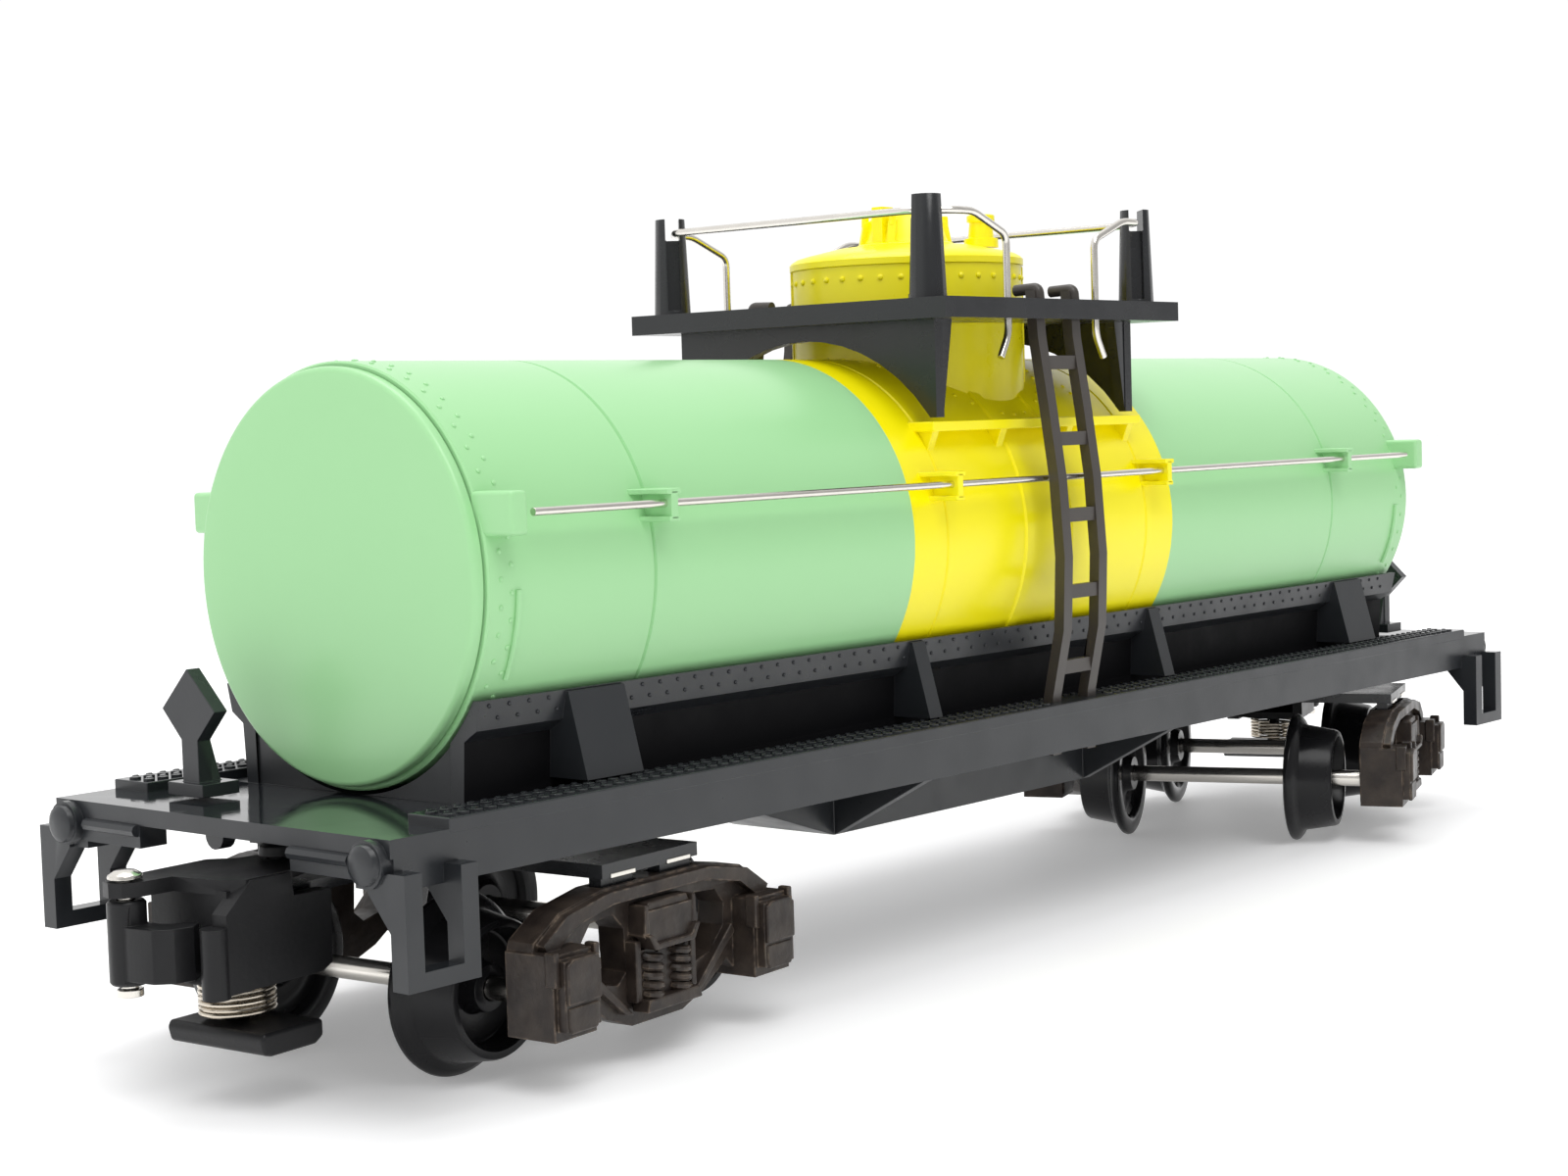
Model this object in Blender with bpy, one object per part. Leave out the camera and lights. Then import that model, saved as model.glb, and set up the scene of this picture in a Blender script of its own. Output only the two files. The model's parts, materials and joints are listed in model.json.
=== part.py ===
"""Model tank wagon, about 1:64: a riveted tank on a deck, riding on two swivelling trucks.

X runs along the wagon, Y across it and Z up, with the origin on the floor under the middle.
Lengths are named in millimetres and are scaled to metres when a mesh is made.
The wagon repeats after half a turn about Z, so most pieces come in pairs made by a loop.
"""

import math

import bmesh
import bpy
from mathutils import Matrix, Vector

MM = 0.001
GAP = 0.3                       # clearance between pieces that touch

# Tank
TANK_R = 17.0
TANK_Z = 38.5                   # height of the tank's axis
TANK_HALF = 74.1
TANK_WALL = 1.6
END_R = 16.6                    # the end disc, a little smaller than the shell
END_PROUD = 1.1
SEAM_X = 55.9                   # plate seams, with a rail bracket on each
INNER_SEAM_X = 16.8
RAIL_Z = 43.5
RAIL_Y = 18.6
RAIL_R = 0.33
RAIL_HALF = 70.8
LEDGE_Z = 49.3
LEDGE_Y = 16.2
LEDGE_HALF = 17.6

# Dome and its platform
DOME_R = 11.5
DOME_LID_Z = 66.2
DOME_TOP_Z = 67.5
MANWAY_TOP_Z = 70.2
PLATFORM_X = 19.7
PLATFORM_Y = 19.5
PLATFORM_TOP = 60.5
PLATFORM_THICK = 1.9
ARCH_R = 18.7
LEG_X = 16.5
LEG_Y = 15.8
POST = (17.5, 15.9)
POST_TOP = 69.9
HANDRAIL_Z = 68.5
HANDRAIL_R = 0.4
HANDRAIL_GATE = 7.4             # half the opening that the ladder comes up through

# Ladder
LADDER_HALF = 3.65
RAIL_WIDE = 1.4
RAIL_DEEP = 1.1
LADDER_PATH = ((17.55, 61.4), (17.8, 57.0), (18.9, 50.0), (19.8, 43.5), (20.3, 36.0),
               (20.0, 29.0), (18.6, 22.6), (18.45, 16.9))
RUNG_FIRST_Z = 25.3
RUNG_STEP = 7.3
RUNG_COUNT = 5
RUNG_TALL = 1.3

# Deck and cradle
DECK_HALF = 87.6
DECK_Y = 20.4
DECK_TOP = 21.2
DECK_THICK = 1.4
SILL_BOTTOM = 17.4
SILL_THICK = 1.2
BOARD_INNER_Y = 15.9
BOARD_TOP = 22.0
BOARD_HALF = 82.0
BELLY_Y = 6.3
BELLY_Z = 10.8
BELLY_HALF = 21.6
BELLY_END = 41.5
BEARER_THICK = 1.4
CRADLE_HALF = 74.0
CRADLE_FOOT = DECK_TOP - 0.3
BRACE_WIDE_X = (58.6, 64.9)
BRACE_THIN_X = (19.0, 20.9)
STEP_X = (81.1, 88.0)
STEP_Y = (20.6, 22.3)
STEP_BAR = 1.6
STEP_BOTTOM = 10.5
STEP_TOP = 18.9
PLACARD_X = 81.2
PLACARD_Y = 9.3
PLACARD_TOP = 31.6

# Trucks
TRUCK_X = 62.0
TRUCK_YAW = {"front": 5.0, "rear": 19.0}
WHEELBASE_HALF = 12.4
FLANGE_R = 7.2
TREAD_R = 6.0
WHEEL_BACK_Y = 9.4
WHEEL_WIDE = 5.1
AXLE_R = 0.9
AXLE_HALF = 18.8
BORE_GAP = 0.12
FRAME_IN_Y = 17.2
FRAME_OUT_Y = 19.8
BOX_OUT_Y = 22.0
LID_OUT_Y = 22.8
PLATE_TOP = 16.1
PLATE_THICK = 1.1
PLATE_HALF = 6.0
KINGPIN_R = 1.5
TAB_X = (1.7, 5.6)              # the tabs that join the plate to the side frames
TAB_Y = (17.9, 19.1)
TAB_LOW = 13.2

# Coupler, measured from the truck's pivot towards the wagon's end
COUPLER_TOP = 17.6
COUPLER_PLATE_LOW = 16.5
KNUCKLE_PIN = (-33.1, 3.2)
KNUCKLE_R = 1.45
KNUCKLE_PIN_R = 0.6
KNUCKLE_Z = (9.9, 16.2)
RIVET_U = -20.9
RIVET_R = 0.8
PLUNGER_U = -25.7
PLUNGER_R = 0.8
SPRING_R = 2.75
SPRING_WIRE = 0.16
SPRING_TURNS = 5
SPRING_Z = (6.5, 9.3)
SHOE_Z = (4.4, 6.2)


# ---------------------------------------------------------------- helpers

def material(name, color, roughness, metallic=0.0):
    found = bpy.data.materials.get(name)
    if found:
        return found
    made = bpy.data.materials.new(name)
    made.use_nodes = True
    shader = made.node_tree.nodes["Principled BSDF"]
    shader.inputs["Base Color"].default_value = (*color, 1.0)
    shader.inputs["Roughness"].default_value = roughness
    shader.inputs["Metallic"].default_value = metallic
    return made


PAINTS = {
    "green": ((0.34, 0.73, 0.37), 0.35, 0.0),
    "yellow": ((0.93, 0.82, 0.02), 0.35, 0.0),
    "black": ((0.035, 0.038, 0.043), 0.35, 0.0),
    "brown": ((0.075, 0.058, 0.05), 0.6, 0.0),
    "steel": ((0.72, 0.7, 0.66), 0.25, 1.0),
    "dark_steel": ((0.3, 0.28, 0.25), 0.35, 1.0),
}


def paint(obj, look):
    """Gives the object a material of its own in one of the wagon's finishes."""
    color, roughness, metallic = PAINTS[look]
    obj.data.materials.append(material(f"{obj.name}_{look}", color, roughness, metallic))


def new_object(name, build, parent=None):
    """Makes an object whose mesh the function build fills in, in millimetres."""
    shape = bmesh.new()
    build(shape)
    bmesh.ops.scale(shape, vec=(MM, MM, MM), verts=shape.verts)
    bmesh.ops.recalc_face_normals(shape, faces=shape.faces)
    mesh = bpy.data.meshes.new(name)
    shape.to_mesh(mesh)
    shape.free()
    obj = bpy.data.objects.new(name, mesh)
    bpy.context.scene.collection.objects.link(obj)
    obj.parent = parent
    return obj


def box(name, low, high, parent=None):
    def build(shape):
        size = [b - a for a, b in zip(low, high)]
        middle = [(a + b) / 2 for a, b in zip(low, high)]
        place = Matrix.Translation(middle) @ Matrix.Diagonal((*size, 1))
        bmesh.ops.create_cube(shape, size=1, matrix=place)
    return new_object(name, build, parent)


def prism(name, outline, axis, start, end, parent=None):
    """Extrudes an outline along an axis. The outline's two numbers are the other two axes, in order."""
    def place(point, along):
        spot = list(point)
        spot.insert("XYZ".index(axis), along)
        return spot

    def build(shape):
        face = shape.faces.new([shape.verts.new(place(p, start)) for p in outline])
        out = bmesh.ops.extrude_face_region(shape, geom=[face])
        moved = [v for v in out["geom"] if isinstance(v, bmesh.types.BMVert)]
        bmesh.ops.translate(shape, vec=Vector(place((0, 0), end - start)), verts=moved)
    return new_object(name, build, parent)


def turned(name, profile, axis, centre, steps=24, parent=None, closed=False):
    """Spins a profile of (along, radius) points. An open profile starts and ends on the axis."""
    def ring_point(along, radius, turn):
        across = (radius * math.cos(turn), radius * math.sin(turn))
        spot = {"X": (along, *across), "Y": (across[0], along, across[1]), "Z": (*across, along)}
        return Vector(spot[axis]) + Vector(centre)

    def build(shape):
        rings = []
        for along, radius in profile:
            count = 1 if radius < 1e-6 else steps
            turns = [2 * math.pi * k / steps for k in range(count)]
            rings.append([shape.verts.new(ring_point(along, radius, t)) for t in turns])
        pairs = list(zip(rings, rings[1:]))
        if closed:
            pairs.append((rings[-1], rings[0]))
        for one, two in pairs:
            for k in range(steps):
                corners = [one[k % len(one)], one[(k + 1) % len(one)],
                           two[(k + 1) % len(two)], two[k % len(two)]]
                shape.faces.new(list(dict.fromkeys(corners)))
    obj = new_object(name, build, parent)
    smooth(obj)
    return obj


def cylinder(name, axis, centre, radius, start, end, steps=16, parent=None):
    profile = [(start, 0), (start, radius), (end, radius), (end, 0)]
    return turned(name, profile, axis, centre, steps, parent)


def smooth(obj, angle=35):
    obj.data.shade_smooth()
    obj.data.set_sharp_from_angle(angle=math.radians(angle))


def wire(name, points, radius, look, sides=2, parent=None):
    """A round wire through the points, as a curve with filled ends."""
    data = bpy.data.curves.new(name, "CURVE")
    data.dimensions = "3D"
    data.bevel_depth = radius * MM
    data.bevel_resolution = sides
    data.use_fill_caps = True
    line = data.splines.new("POLY")
    line.points.add(len(points) - 1)
    for spot, point in zip(line.points, points):
        spot.co = (*(Vector(point) * MM), 1)
    obj = bpy.data.objects.new(name, data)
    bpy.context.scene.collection.objects.link(obj)
    obj.parent = parent
    paint(obj, look)
    return obj


def apply_tool(node, tool, operation):
    tool.hide_render = True
    tool.display_type = "WIRE"
    step = node.modifiers.new(tool.name, "BOOLEAN")
    step.operation = operation
    step.object = tool


def weld_on(node, *tools):
    for tool in tools:
        apply_tool(node, tool, "UNION")


def cut_out(node, *tools):
    for tool in tools:
        apply_tool(node, tool, "DIFFERENCE")


def empty(name, place, parent=None, yaw=0.0):
    made = bpy.data.objects.new(name, None)
    made.location = Vector(place) * MM
    made.rotation_euler.z = math.radians(yaw)
    made.parent = parent
    bpy.context.scene.collection.objects.link(made)
    return made


def arc(centre, radius, start, end, count):
    """Points on an arc, with its angles in degrees."""
    turns = [math.radians(start + (end - start) * k / count) for k in range(count + 1)]
    return [(centre[0] + radius * math.cos(t), centre[1] + radius * math.sin(t)) for t in turns]


def mirrored(outline):
    """The outline followed by its mirror image in the first axis."""
    return list(outline) + [(-a, b) for a, b in reversed(outline)]


def span(a, b, side):
    """Low and high ends of a stretch on one side of the middle."""
    return (a, b) if side > 0 else (-b, -a)


def corners(x, y, z, x_side=1, y_side=1):
    """Low and high corners of a box whose X and Y stretches are given for the positive side."""
    xs, ys = span(*x, x_side), span(*y, y_side)
    return (xs[0], ys[0], z[0]), (xs[1], ys[1], z[1])


def each_end():
    return (("front", -1), ("rear", 1))


def each_side():
    return (("right", -1), ("left", 1))


def all_corners():
    return [(x_side, y_side) for x_side in (-1, 1) for y_side in (-1, 1)]


# ---------------------------------------------------------------- tank

def tank_bracket(x, y_side, wide, tall):
    """A wedge that stands out of the shell and carries the rail."""
    root, tip = 15.6 * y_side, (RAIL_Y + RAIL_R + 0.5) * y_side
    outline = [(x - wide, root), (x + wide, root), (x + wide * 0.4, tip), (x - wide * 0.4, tip)]
    low, high = RAIL_Z - tall / 2, RAIL_Z + tall / 2
    return prism(f"bracket_{x}_{y_side}", outline, "Z", low, high)


def tank_shell():
    inner = TANK_R - TANK_WALL
    groove, rib = TANK_R - 0.25, 0.25
    outer = [(-TANK_HALF, TANK_R)]
    for x in (-SEAM_X, -INNER_SEAM_X, INNER_SEAM_X, SEAM_X):
        outer += [(x - rib, TANK_R), (x, groove), (x + rib, TANK_R)]
    outer.append((TANK_HALF, TANK_R))
    profile = outer + [(TANK_HALF, inner), (-TANK_HALF, inner)]
    shell = turned("tank_shell", profile, "X", (0, 0, TANK_Z), 48, closed=True)
    rail_holes = []
    for name, side in each_side():
        for x in (-SEAM_X, -17.8, 17.8, SEAM_X):
            weld_on(shell, tank_bracket(x, side, 1.9, 3.1))
        for x in (-72.9, 72.9):
            weld_on(shell, tank_bracket(x, side, 1.15, 3.4))
        ledge = corners((-LEDGE_HALF, LEDGE_HALF), (12.6, LEDGE_Y), (LEDGE_Z - 1.1, LEDGE_Z), 1, side)
        weld_on(shell, box(f"ledge_{name}", *ledge))
        for x in (-16.2, 16.2):
            gusset = [(12.8 * side, LEDGE_Z - 0.6), (15.9 * side, LEDGE_Z - 0.6),
                      (15.0 * side, 45.9), (14.4 * side, 45.9)]
            weld_on(shell, prism(f"gusset_{name}_{x}", gusset, "X", x - 0.6, x + 0.6))
        hole = cylinder(f"rail_hole_{name}", "X", (0, side * RAIL_Y, RAIL_Z), RAIL_R + 0.2,
                        -RAIL_HALF - GAP, RAIL_HALF + GAP, 12)
        rail_holes.append(hole)
    cut_out(shell, *rail_holes)
    paint(shell, "green")


def tank_end(name, side):
    """A disc with a spigot that plugs the shell."""
    face = side * (TANK_HALF + END_PROUD)
    spigot = TANK_R - TANK_WALL - 0.15
    profile = [(face, 0), (face, END_R - 0.5), (face - side * 0.5, END_R),
               (side * (TANK_HALF + 0.15), END_R), (side * (TANK_HALF + 0.15), spigot),
               (side * (TANK_HALF - 3), spigot), (side * (TANK_HALF - 3), spigot - 1.2),
               (side * (TANK_HALF - 0.6), spigot - 1.2), (side * (TANK_HALF - 0.6), 0)]
    paint(turned(f"tank_end_{name}", profile, "X", (0, 0, TANK_Z), 48), "green")


def tank_rail(name, side):
    rail = cylinder(f"tank_rail_{name}", "X", (0, side * RAIL_Y, RAIL_Z), RAIL_R,
                    -RAIL_HALF, RAIL_HALF, 10)
    paint(rail, "steel")


def dome():
    profile = [(TANK_Z + 8, 0), (TANK_Z + 8, DOME_R + 0.5), (TANK_Z + 13.6, DOME_R + 0.5),
               (TANK_Z + 14.6, DOME_R), (DOME_LID_Z - 0.6, DOME_R), (DOME_LID_Z - 0.6, DOME_R - 0.3),
               (DOME_LID_Z, DOME_R - 0.3), (DOME_LID_Z + 0.6, DOME_R - 0.9),
               (DOME_TOP_Z, DOME_R - 2.6), (DOME_TOP_Z, 0)]
    drum = turned("dome", profile, "Z", (0, 0, 0), 36)
    saddle = cylinder("dome_saddle", "X", (0, 0, TANK_Z), TANK_R + GAP, -15, 15, 48)
    cut_out(drum, saddle)
    paint(drum, "yellow")


def manway_cover():
    base = DOME_TOP_Z + GAP
    profile = [(base, 0), (base, 5.0), (base + 0.5, 4.7), (base + 0.6, 4.3), (base + 1.9, 3.9),
               (MANWAY_TOP_Z, 3.3), (MANWAY_TOP_Z, 0)]
    cover = turned("manway_cover", profile, "Z", (0, 0, 0), 24)
    hinge = box("manway_hinge", (-4.6, -0.7, base + 0.4), (-2.6, 0.7, MANWAY_TOP_Z + 0.4))
    weld_on(cover, hinge)
    paint(cover, "yellow")


def safety_valve():
    base = DOME_TOP_Z + GAP
    profile = [(base, 0), (base, 1.35), (base + 0.4, 1.35), (base + 0.5, 1.05), (base + 1.3, 1.05),
               (base + 1.4, 1.25), (base + 1.9, 1.25), (base + 1.9, 0)]
    paint(turned("safety_valve", profile, "Z", (6.0, -5.0, 0), 12), "yellow")


# ---------------------------------------------------------------- platform and ladders

def platform_leg(x_side, y_side):
    """The tapered flange on the leg's outer face."""
    outer = LEG_X * x_side
    outline = [(outer, PLATFORM_TOP - 1), (outer - 3.0 * x_side, PLATFORM_TOP - 1),
               (outer - 1.2 * x_side, LEDGE_Z + GAP), (outer, LEDGE_Z + GAP)]
    start, end = span(LEG_Y - 1.2, LEG_Y - 0.1, y_side)
    return prism(f"leg_{x_side}_{y_side}", outline, "Y", start, end)


def platform_post(x_side, y_side):
    profile = [(PLATFORM_TOP - 1, 0), (PLATFORM_TOP - 1, 1.8), (PLATFORM_TOP, 1.8),
               (POST_TOP, 1.45), (POST_TOP, 0)]
    return turned(f"post_{x_side}_{y_side}", profile, "Z",
                  (POST[0] * x_side, POST[1] * y_side, 0), 16)


def post_cutters(x_side, y_side):
    """The groove up a post's two faces and the notch across its top that the handrail lies in."""
    foot, notch_foot, top = PLATFORM_TOP + 0.4, HANDRAIL_Z - HANDRAIL_R - GAP, POST_TOP + 1
    reaches = (("groove_out", 0.62, (0.6, 3), (foot, top)), ("groove_in", 0.62, (-3, -0.6), (foot, top)),
               ("notch", 0.7, (-3.5, 3.5), (notch_foot, top + 1)))
    cutters = []
    for name, half, along, height in reaches:
        cutter = box(f"{name}_{x_side}_{y_side}", (-half, along[0], height[0]), (half, along[1], height[1]))
        cutter.location = Vector((x_side * (POST[0] - 0.1), y_side * (POST[1] - 0.1), 0)) * MM
        cutter.rotation_euler.z = math.radians(45 * x_side * y_side)
        cutters.append(cutter)
    return cutters


def platform():
    low_z = PLATFORM_TOP - PLATFORM_THICK
    top = box("platform", (-PLATFORM_X, -PLATFORM_Y, low_z), (PLATFORM_X, PLATFORM_Y, PLATFORM_TOP))
    for x_side in (-1, 1):
        start, end = span(LEG_X - 1.2, LEG_X, x_side)
        panel = box(f"arch_panel_{x_side}", (start, -LEG_Y, LEDGE_Z + GAP), (end, LEG_Y, low_z + 0.5))
        weld_on(top, panel)
    for x_side, y_side in all_corners():
        weld_on(top, platform_leg(x_side, y_side), platform_post(x_side, y_side))
    arch = cylinder("arch_cutter", "X", (0, 0, TANK_Z), ARCH_R, -25, 25, 48)
    hole = cylinder("dome_hole", "Z", (0, 0, 0), DOME_R + 0.6, 50, 70, 36)
    cut_out(top, arch, hole)
    for x_side, y_side in all_corners():
        cut_out(top, *post_cutters(x_side, y_side))
        rail_x = span(LADDER_HALF - RAIL_WIDE - GAP, LADDER_HALF + GAP, x_side)
        rail_y = span(16.5, 18.7, y_side)
        cut_out(top, box(f"ladder_slot_{x_side}_{y_side}", (rail_x[0], rail_y[0], 50),
                         (rail_x[1], rail_y[1], 65)))
        wire_hole = cylinder(f"wire_hole_{x_side}_{y_side}", "Z",
                             (HANDRAIL_GATE * x_side, POST[1] * y_side + 1.7 * y_side, 0),
                             HANDRAIL_R + 0.2, 55, 65, 10)
        cut_out(top, wire_hole)
    paint(top, "black")


def handrail(name, x_side):
    """One wire: up through the deck, across both corner posts and down through the deck again."""
    out_x, out_y, cut = POST[0] + 0.7, POST[1] + 1.7, 2.6
    half = [(HANDRAIL_GATE, out_y, 56.6), (HANDRAIL_GATE, out_y, 66.0),
            (HANDRAIL_GATE + 0.4, out_y, 66.9), (HANDRAIL_GATE + 1.3, out_y, 67.3),
            (out_x - cut - 2.0, out_y, HANDRAIL_Z - 0.1), (out_x - cut - 0.9, out_y, HANDRAIL_Z),
            (out_x - cut + 0.1, out_y - 0.2, HANDRAIL_Z), (out_x - 0.2, out_y - cut + 0.1, HANDRAIL_Z),
            (out_x, out_y - cut - 0.9, HANDRAIL_Z)]
    points = [(x * x_side, y, z) for x, y, z in half]
    points += [(x, -y, z) for x, y, z in reversed(points)]
    wire(f"handrail_{name}", points, HANDRAIL_R, "steel")


def ladder_y(z):
    """The rails' distance from the middle at a height."""
    for (y_high, z_high), (y_low, z_low) in zip(LADDER_PATH, LADDER_PATH[1:]):
        if z_low <= z <= z_high:
            return y_low + (y_high - y_low) * (z - z_low) / (z_high - z_low)
    raise ValueError("height is off the ladder")


def ladder(name, side):
    half = RAIL_DEEP / 2
    outer = [((y + half) * side, z) for y, z in LADDER_PATH]
    inner = [((y - half) * side, z) for y, z in reversed(LADDER_PATH)]
    made = prism(f"ladder_{name}", outer + inner, "X", LADDER_HALF - RAIL_WIDE, LADDER_HALF)
    other = prism(f"ladder_rail_{name}", outer + inner, "X", -LADDER_HALF, -LADDER_HALF + RAIL_WIDE)
    for k in range(RUNG_COUNT):
        z = RUNG_FIRST_Z + k * RUNG_STEP
        y = ladder_y(z) * side
        rung = box(f"rung_{name}_{k}", (-LADDER_HALF + 0.5, y - 0.4, z - RUNG_TALL / 2),
                   (LADDER_HALF - 0.5, y + 0.4, z + RUNG_TALL / 2))
        weld_on(made, rung)
    weld_on(made, other)
    paint(made, "black")


# ---------------------------------------------------------------- deck, cradle and end fittings

def step_outline(side):
    """One hanging bar of a stirrup step, with its gusset under the sill, as (Y, Z) points."""
    inner, outer = STEP_Y
    return [(side * y, z) for y, z in (
        (outer, STEP_TOP), (outer, STEP_BOTTOM), (inner, STEP_BOTTOM), (inner, 14.6),
        (inner - 2.4, SILL_BOTTOM), (inner - 2.4, SILL_BOTTOM + 0.6), (inner, STEP_TOP))]


def stirrup_step(x_side, y_side):
    tag = f"{x_side}_{y_side}"
    pieces = []
    for k, near in enumerate((STEP_X[0], STEP_X[1] - STEP_BAR)):
        start, end = span(near, near + STEP_BAR, x_side)
        pieces.append(prism(f"step_bar_{tag}_{k}", step_outline(y_side), "X", start, end))
    tread = corners(STEP_X, STEP_Y, (STEP_BOTTOM, STEP_BOTTOM + 1.3), x_side, y_side)
    pieces.append(box(f"step_tread_{tag}", *tread))
    return pieces


def end_sill(x_side, y_side):
    """The deeper sill at a corner, its poling pocket and the bar beside it."""
    tag = f"{x_side}_{y_side}"
    sill = corners((DECK_HALF - 2.5, DECK_HALF), (9.2, DECK_Y - 0.5),
                   (SILL_BOTTOM + 0.6, DECK_TOP - 0.5), x_side, y_side)
    corner = corners((DECK_HALF - 2.4, DECK_HALF - 0.1), (16.4, DECK_Y - 0.6),
                     (SILL_BOTTOM, DECK_TOP - 0.6), x_side, y_side)
    face = DECK_HALF * x_side
    pocket = [(face - x_side, 0), (face - x_side, 1.8), (face + 0.7 * x_side, 1.8),
              (face + 0.7 * x_side, 1.55), (face + 1.1 * x_side, 1.45), (face + 1.3 * x_side, 1.0),
              (face + 1.35 * x_side, 0)]
    bar = span(9.4, 16.2, y_side)
    return [
        box(f"end_sill_{tag}", *sill),
        box(f"end_corner_{tag}", *corner),
        turned(f"pocket_{tag}", pocket, "X", (0, 18.45 * y_side, 19.35), 16),
        cylinder(f"end_bar_{tag}", "Y", (face + 0.1 * x_side, 0, 19.4), 0.5, *bar, 8),
    ]


def centre_sill():
    """The sill under the deck, deepest between the cross-bearers and rising towards the trucks."""
    top = DECK_TOP - DECK_THICK - GAP
    outline = mirrored([(BELLY_HALF, BELLY_Z), (BELLY_END, SILL_BOTTOM), (BELLY_END, top)])
    sill = prism("centre_sill", outline, "Y", -BELLY_Y, BELLY_Y)
    tip = DECK_Y - SILL_THICK - GAP
    bearer_side = mirrored([(BELLY_Y - 0.4, BELLY_Z), (BELLY_Y, BELLY_Z), (tip, SILL_BOTTOM + 0.2), (tip, top)])
    for x_side in (-1, 1):
        start, end = span(BELLY_HALF - BEARER_THICK, BELLY_HALF - 0.1, x_side)
        weld_on(sill, prism(f"bearer_{x_side}", bearer_side, "X", start, end))
    paint(sill, "black")


def underframe():
    low_z = DECK_TOP - DECK_THICK
    frame = box("underframe", (-DECK_HALF, -DECK_Y, low_z), (DECK_HALF, DECK_Y, DECK_TOP))
    for name, side in each_side():
        sill = corners((-DECK_HALF + 0.3, DECK_HALF - 0.3), (DECK_Y - SILL_THICK, DECK_Y),
                       (SILL_BOTTOM, low_z + 0.4), 1, side)
        weld_on(frame, box(f"side_sill_{name}", *sill))
    weld_on(frame, *cradle())
    for x_side, y_side in all_corners():
        weld_on(frame, *end_sill(x_side, y_side), *stirrup_step(x_side, y_side))
    for name, side in each_end():
        lug = cylinder(f"lug_{name}", "X", (0, 0, low_z), 1.1, *span(86.2, 87.4, side), 16)
        pad = cylinder(f"bolster_pad_{name}", "Z", (side * TRUCK_X, 0, 0), 5.0,
                       PLATE_TOP + GAP, low_z + 0.4, 20)
        weld_on(frame, lug, pad)
        hole = cylinder(f"kingpin_hole_{name}", "Z", (side * TRUCK_X, 0, 0), KINGPIN_R + 0.15,
                        10, 30, 16)
        cut_out(frame, hole)
    for x_side, y_side in all_corners():
        cut_out(frame, ladder_tab_slot(f"deck_{x_side}_{y_side}", x_side, y_side))
    paint(frame, "black")


def ladder_tab_slot(tag, x_side, y_side):
    """The slot that a ladder foot's tab goes down through."""
    x = span(LADDER_HALF - RAIL_WIDE - GAP, LADDER_HALF + GAP, x_side)
    y = span(17.55, 19.2, y_side)
    return box(f"tab_slot_{tag}", (x[0], y[0], SILL_BOTTOM + 0.3), (x[1], y[1], 24))


def running_board(name, side):
    board = box(f"running_board_{name}", *corners(
        (-BOARD_HALF, BOARD_HALF), (BOARD_INNER_Y, DECK_Y), (DECK_TOP + 0.1, BOARD_TOP), 1, side))
    for x_side in (-1, 1):
        cut_out(board, ladder_tab_slot(f"board_{x_side}_{name}", x_side, side))
    paint(board, "black")


def cradle_wall(side):
    """One side wall's section: a rivet strip that follows the tank above an upright web."""
    rim = TANK_R + GAP
    inner = arc((0, TANK_Z), rim, -32.0, -46.5, 4)
    outline = [(15.45, 29.35), (14.9, 27.0), (13.5, 26.1), (13.2, CRADLE_FOOT),
               (inner[-1][0] - 0.1, CRADLE_FOOT), *reversed(inner)]
    return [(y * side, z) for y, z in outline]


def brace_section(side):
    rim = arc((0, TANK_Z), TANK_R + GAP + 0.1, -43.0, -32.5, 3)
    outline = [(12.5, BOARD_TOP + GAP), (17.5, BOARD_TOP + GAP), (15.65, 29.2), *reversed(rim)]
    return [(y * side, z) for y, z in outline]


def cradle():
    """The tank's saddle: two long walls with braces, and an end wall under each end of the tank."""
    pieces = [prism(f"cradle_wall_{name}", cradle_wall(side), "X", -CRADLE_HALF, CRADLE_HALF)
              for name, side in each_side()]
    rim = arc((0, TANK_Z), TANK_R + GAP + 0.05, -45, -135, 24)
    saddle = [(12.4, CRADLE_FOOT), *rim, (-12.4, CRADLE_FOOT)]
    for name, side in each_end():
        reach = span(CRADLE_HALF - 2.2, CRADLE_HALF - 0.2, side)
        pieces.append(prism(f"saddle_{name}", saddle, "X", *reach))
    for x_side, y_side in all_corners():
        for kind, reach in (("wide", BRACE_WIDE_X), ("thin", BRACE_THIN_X)):
            start, end = span(*reach, x_side)
            tag = f"brace_{kind}_{x_side}_{y_side}"
            pieces.append(prism(tag, brace_section(y_side), "X", start, end))
    return pieces


def placard_post(name, side):
    """A diamond board on a stem, on a small base block."""
    middle = -side * PLACARD_Y
    head = PLACARD_TOP - 3.3
    outline = [(0, PLACARD_TOP), (-3.4, head), (-1.05, head - 2.4), (-1.05, DECK_TOP + 1.2),
               (1.05, DECK_TOP + 1.2), (1.05, head - 2.4), (3.4, head)]
    outline = [(middle + y, z) for y, z in outline]
    board = prism(f"placard_post_{name}", outline, "X", *span(PLACARD_X, PLACARD_X + 1.3, side))
    foot = [(PLACARD_X - 1.0, DECK_TOP + 1.2), (PLACARD_X + 1.3, DECK_TOP + 1.2),
            (PLACARD_X + 1.3, head - 2.0), (PLACARD_X, head - 2.0)]
    brace = prism(f"placard_brace_{name}", [(x * side, z) for x, z in foot], "Y",
                  middle - 0.9, middle + 0.9)
    base = box(f"placard_base_{name}", *corners(
        (PLACARD_X - 1.7, PLACARD_X + 1.9), (-2.25, 2.25), (DECK_TOP + GAP, DECK_TOP + 1.35), side, 1))
    base.location.y = middle * MM
    weld_on(board, brace, base)
    paint(board, "black")


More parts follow.
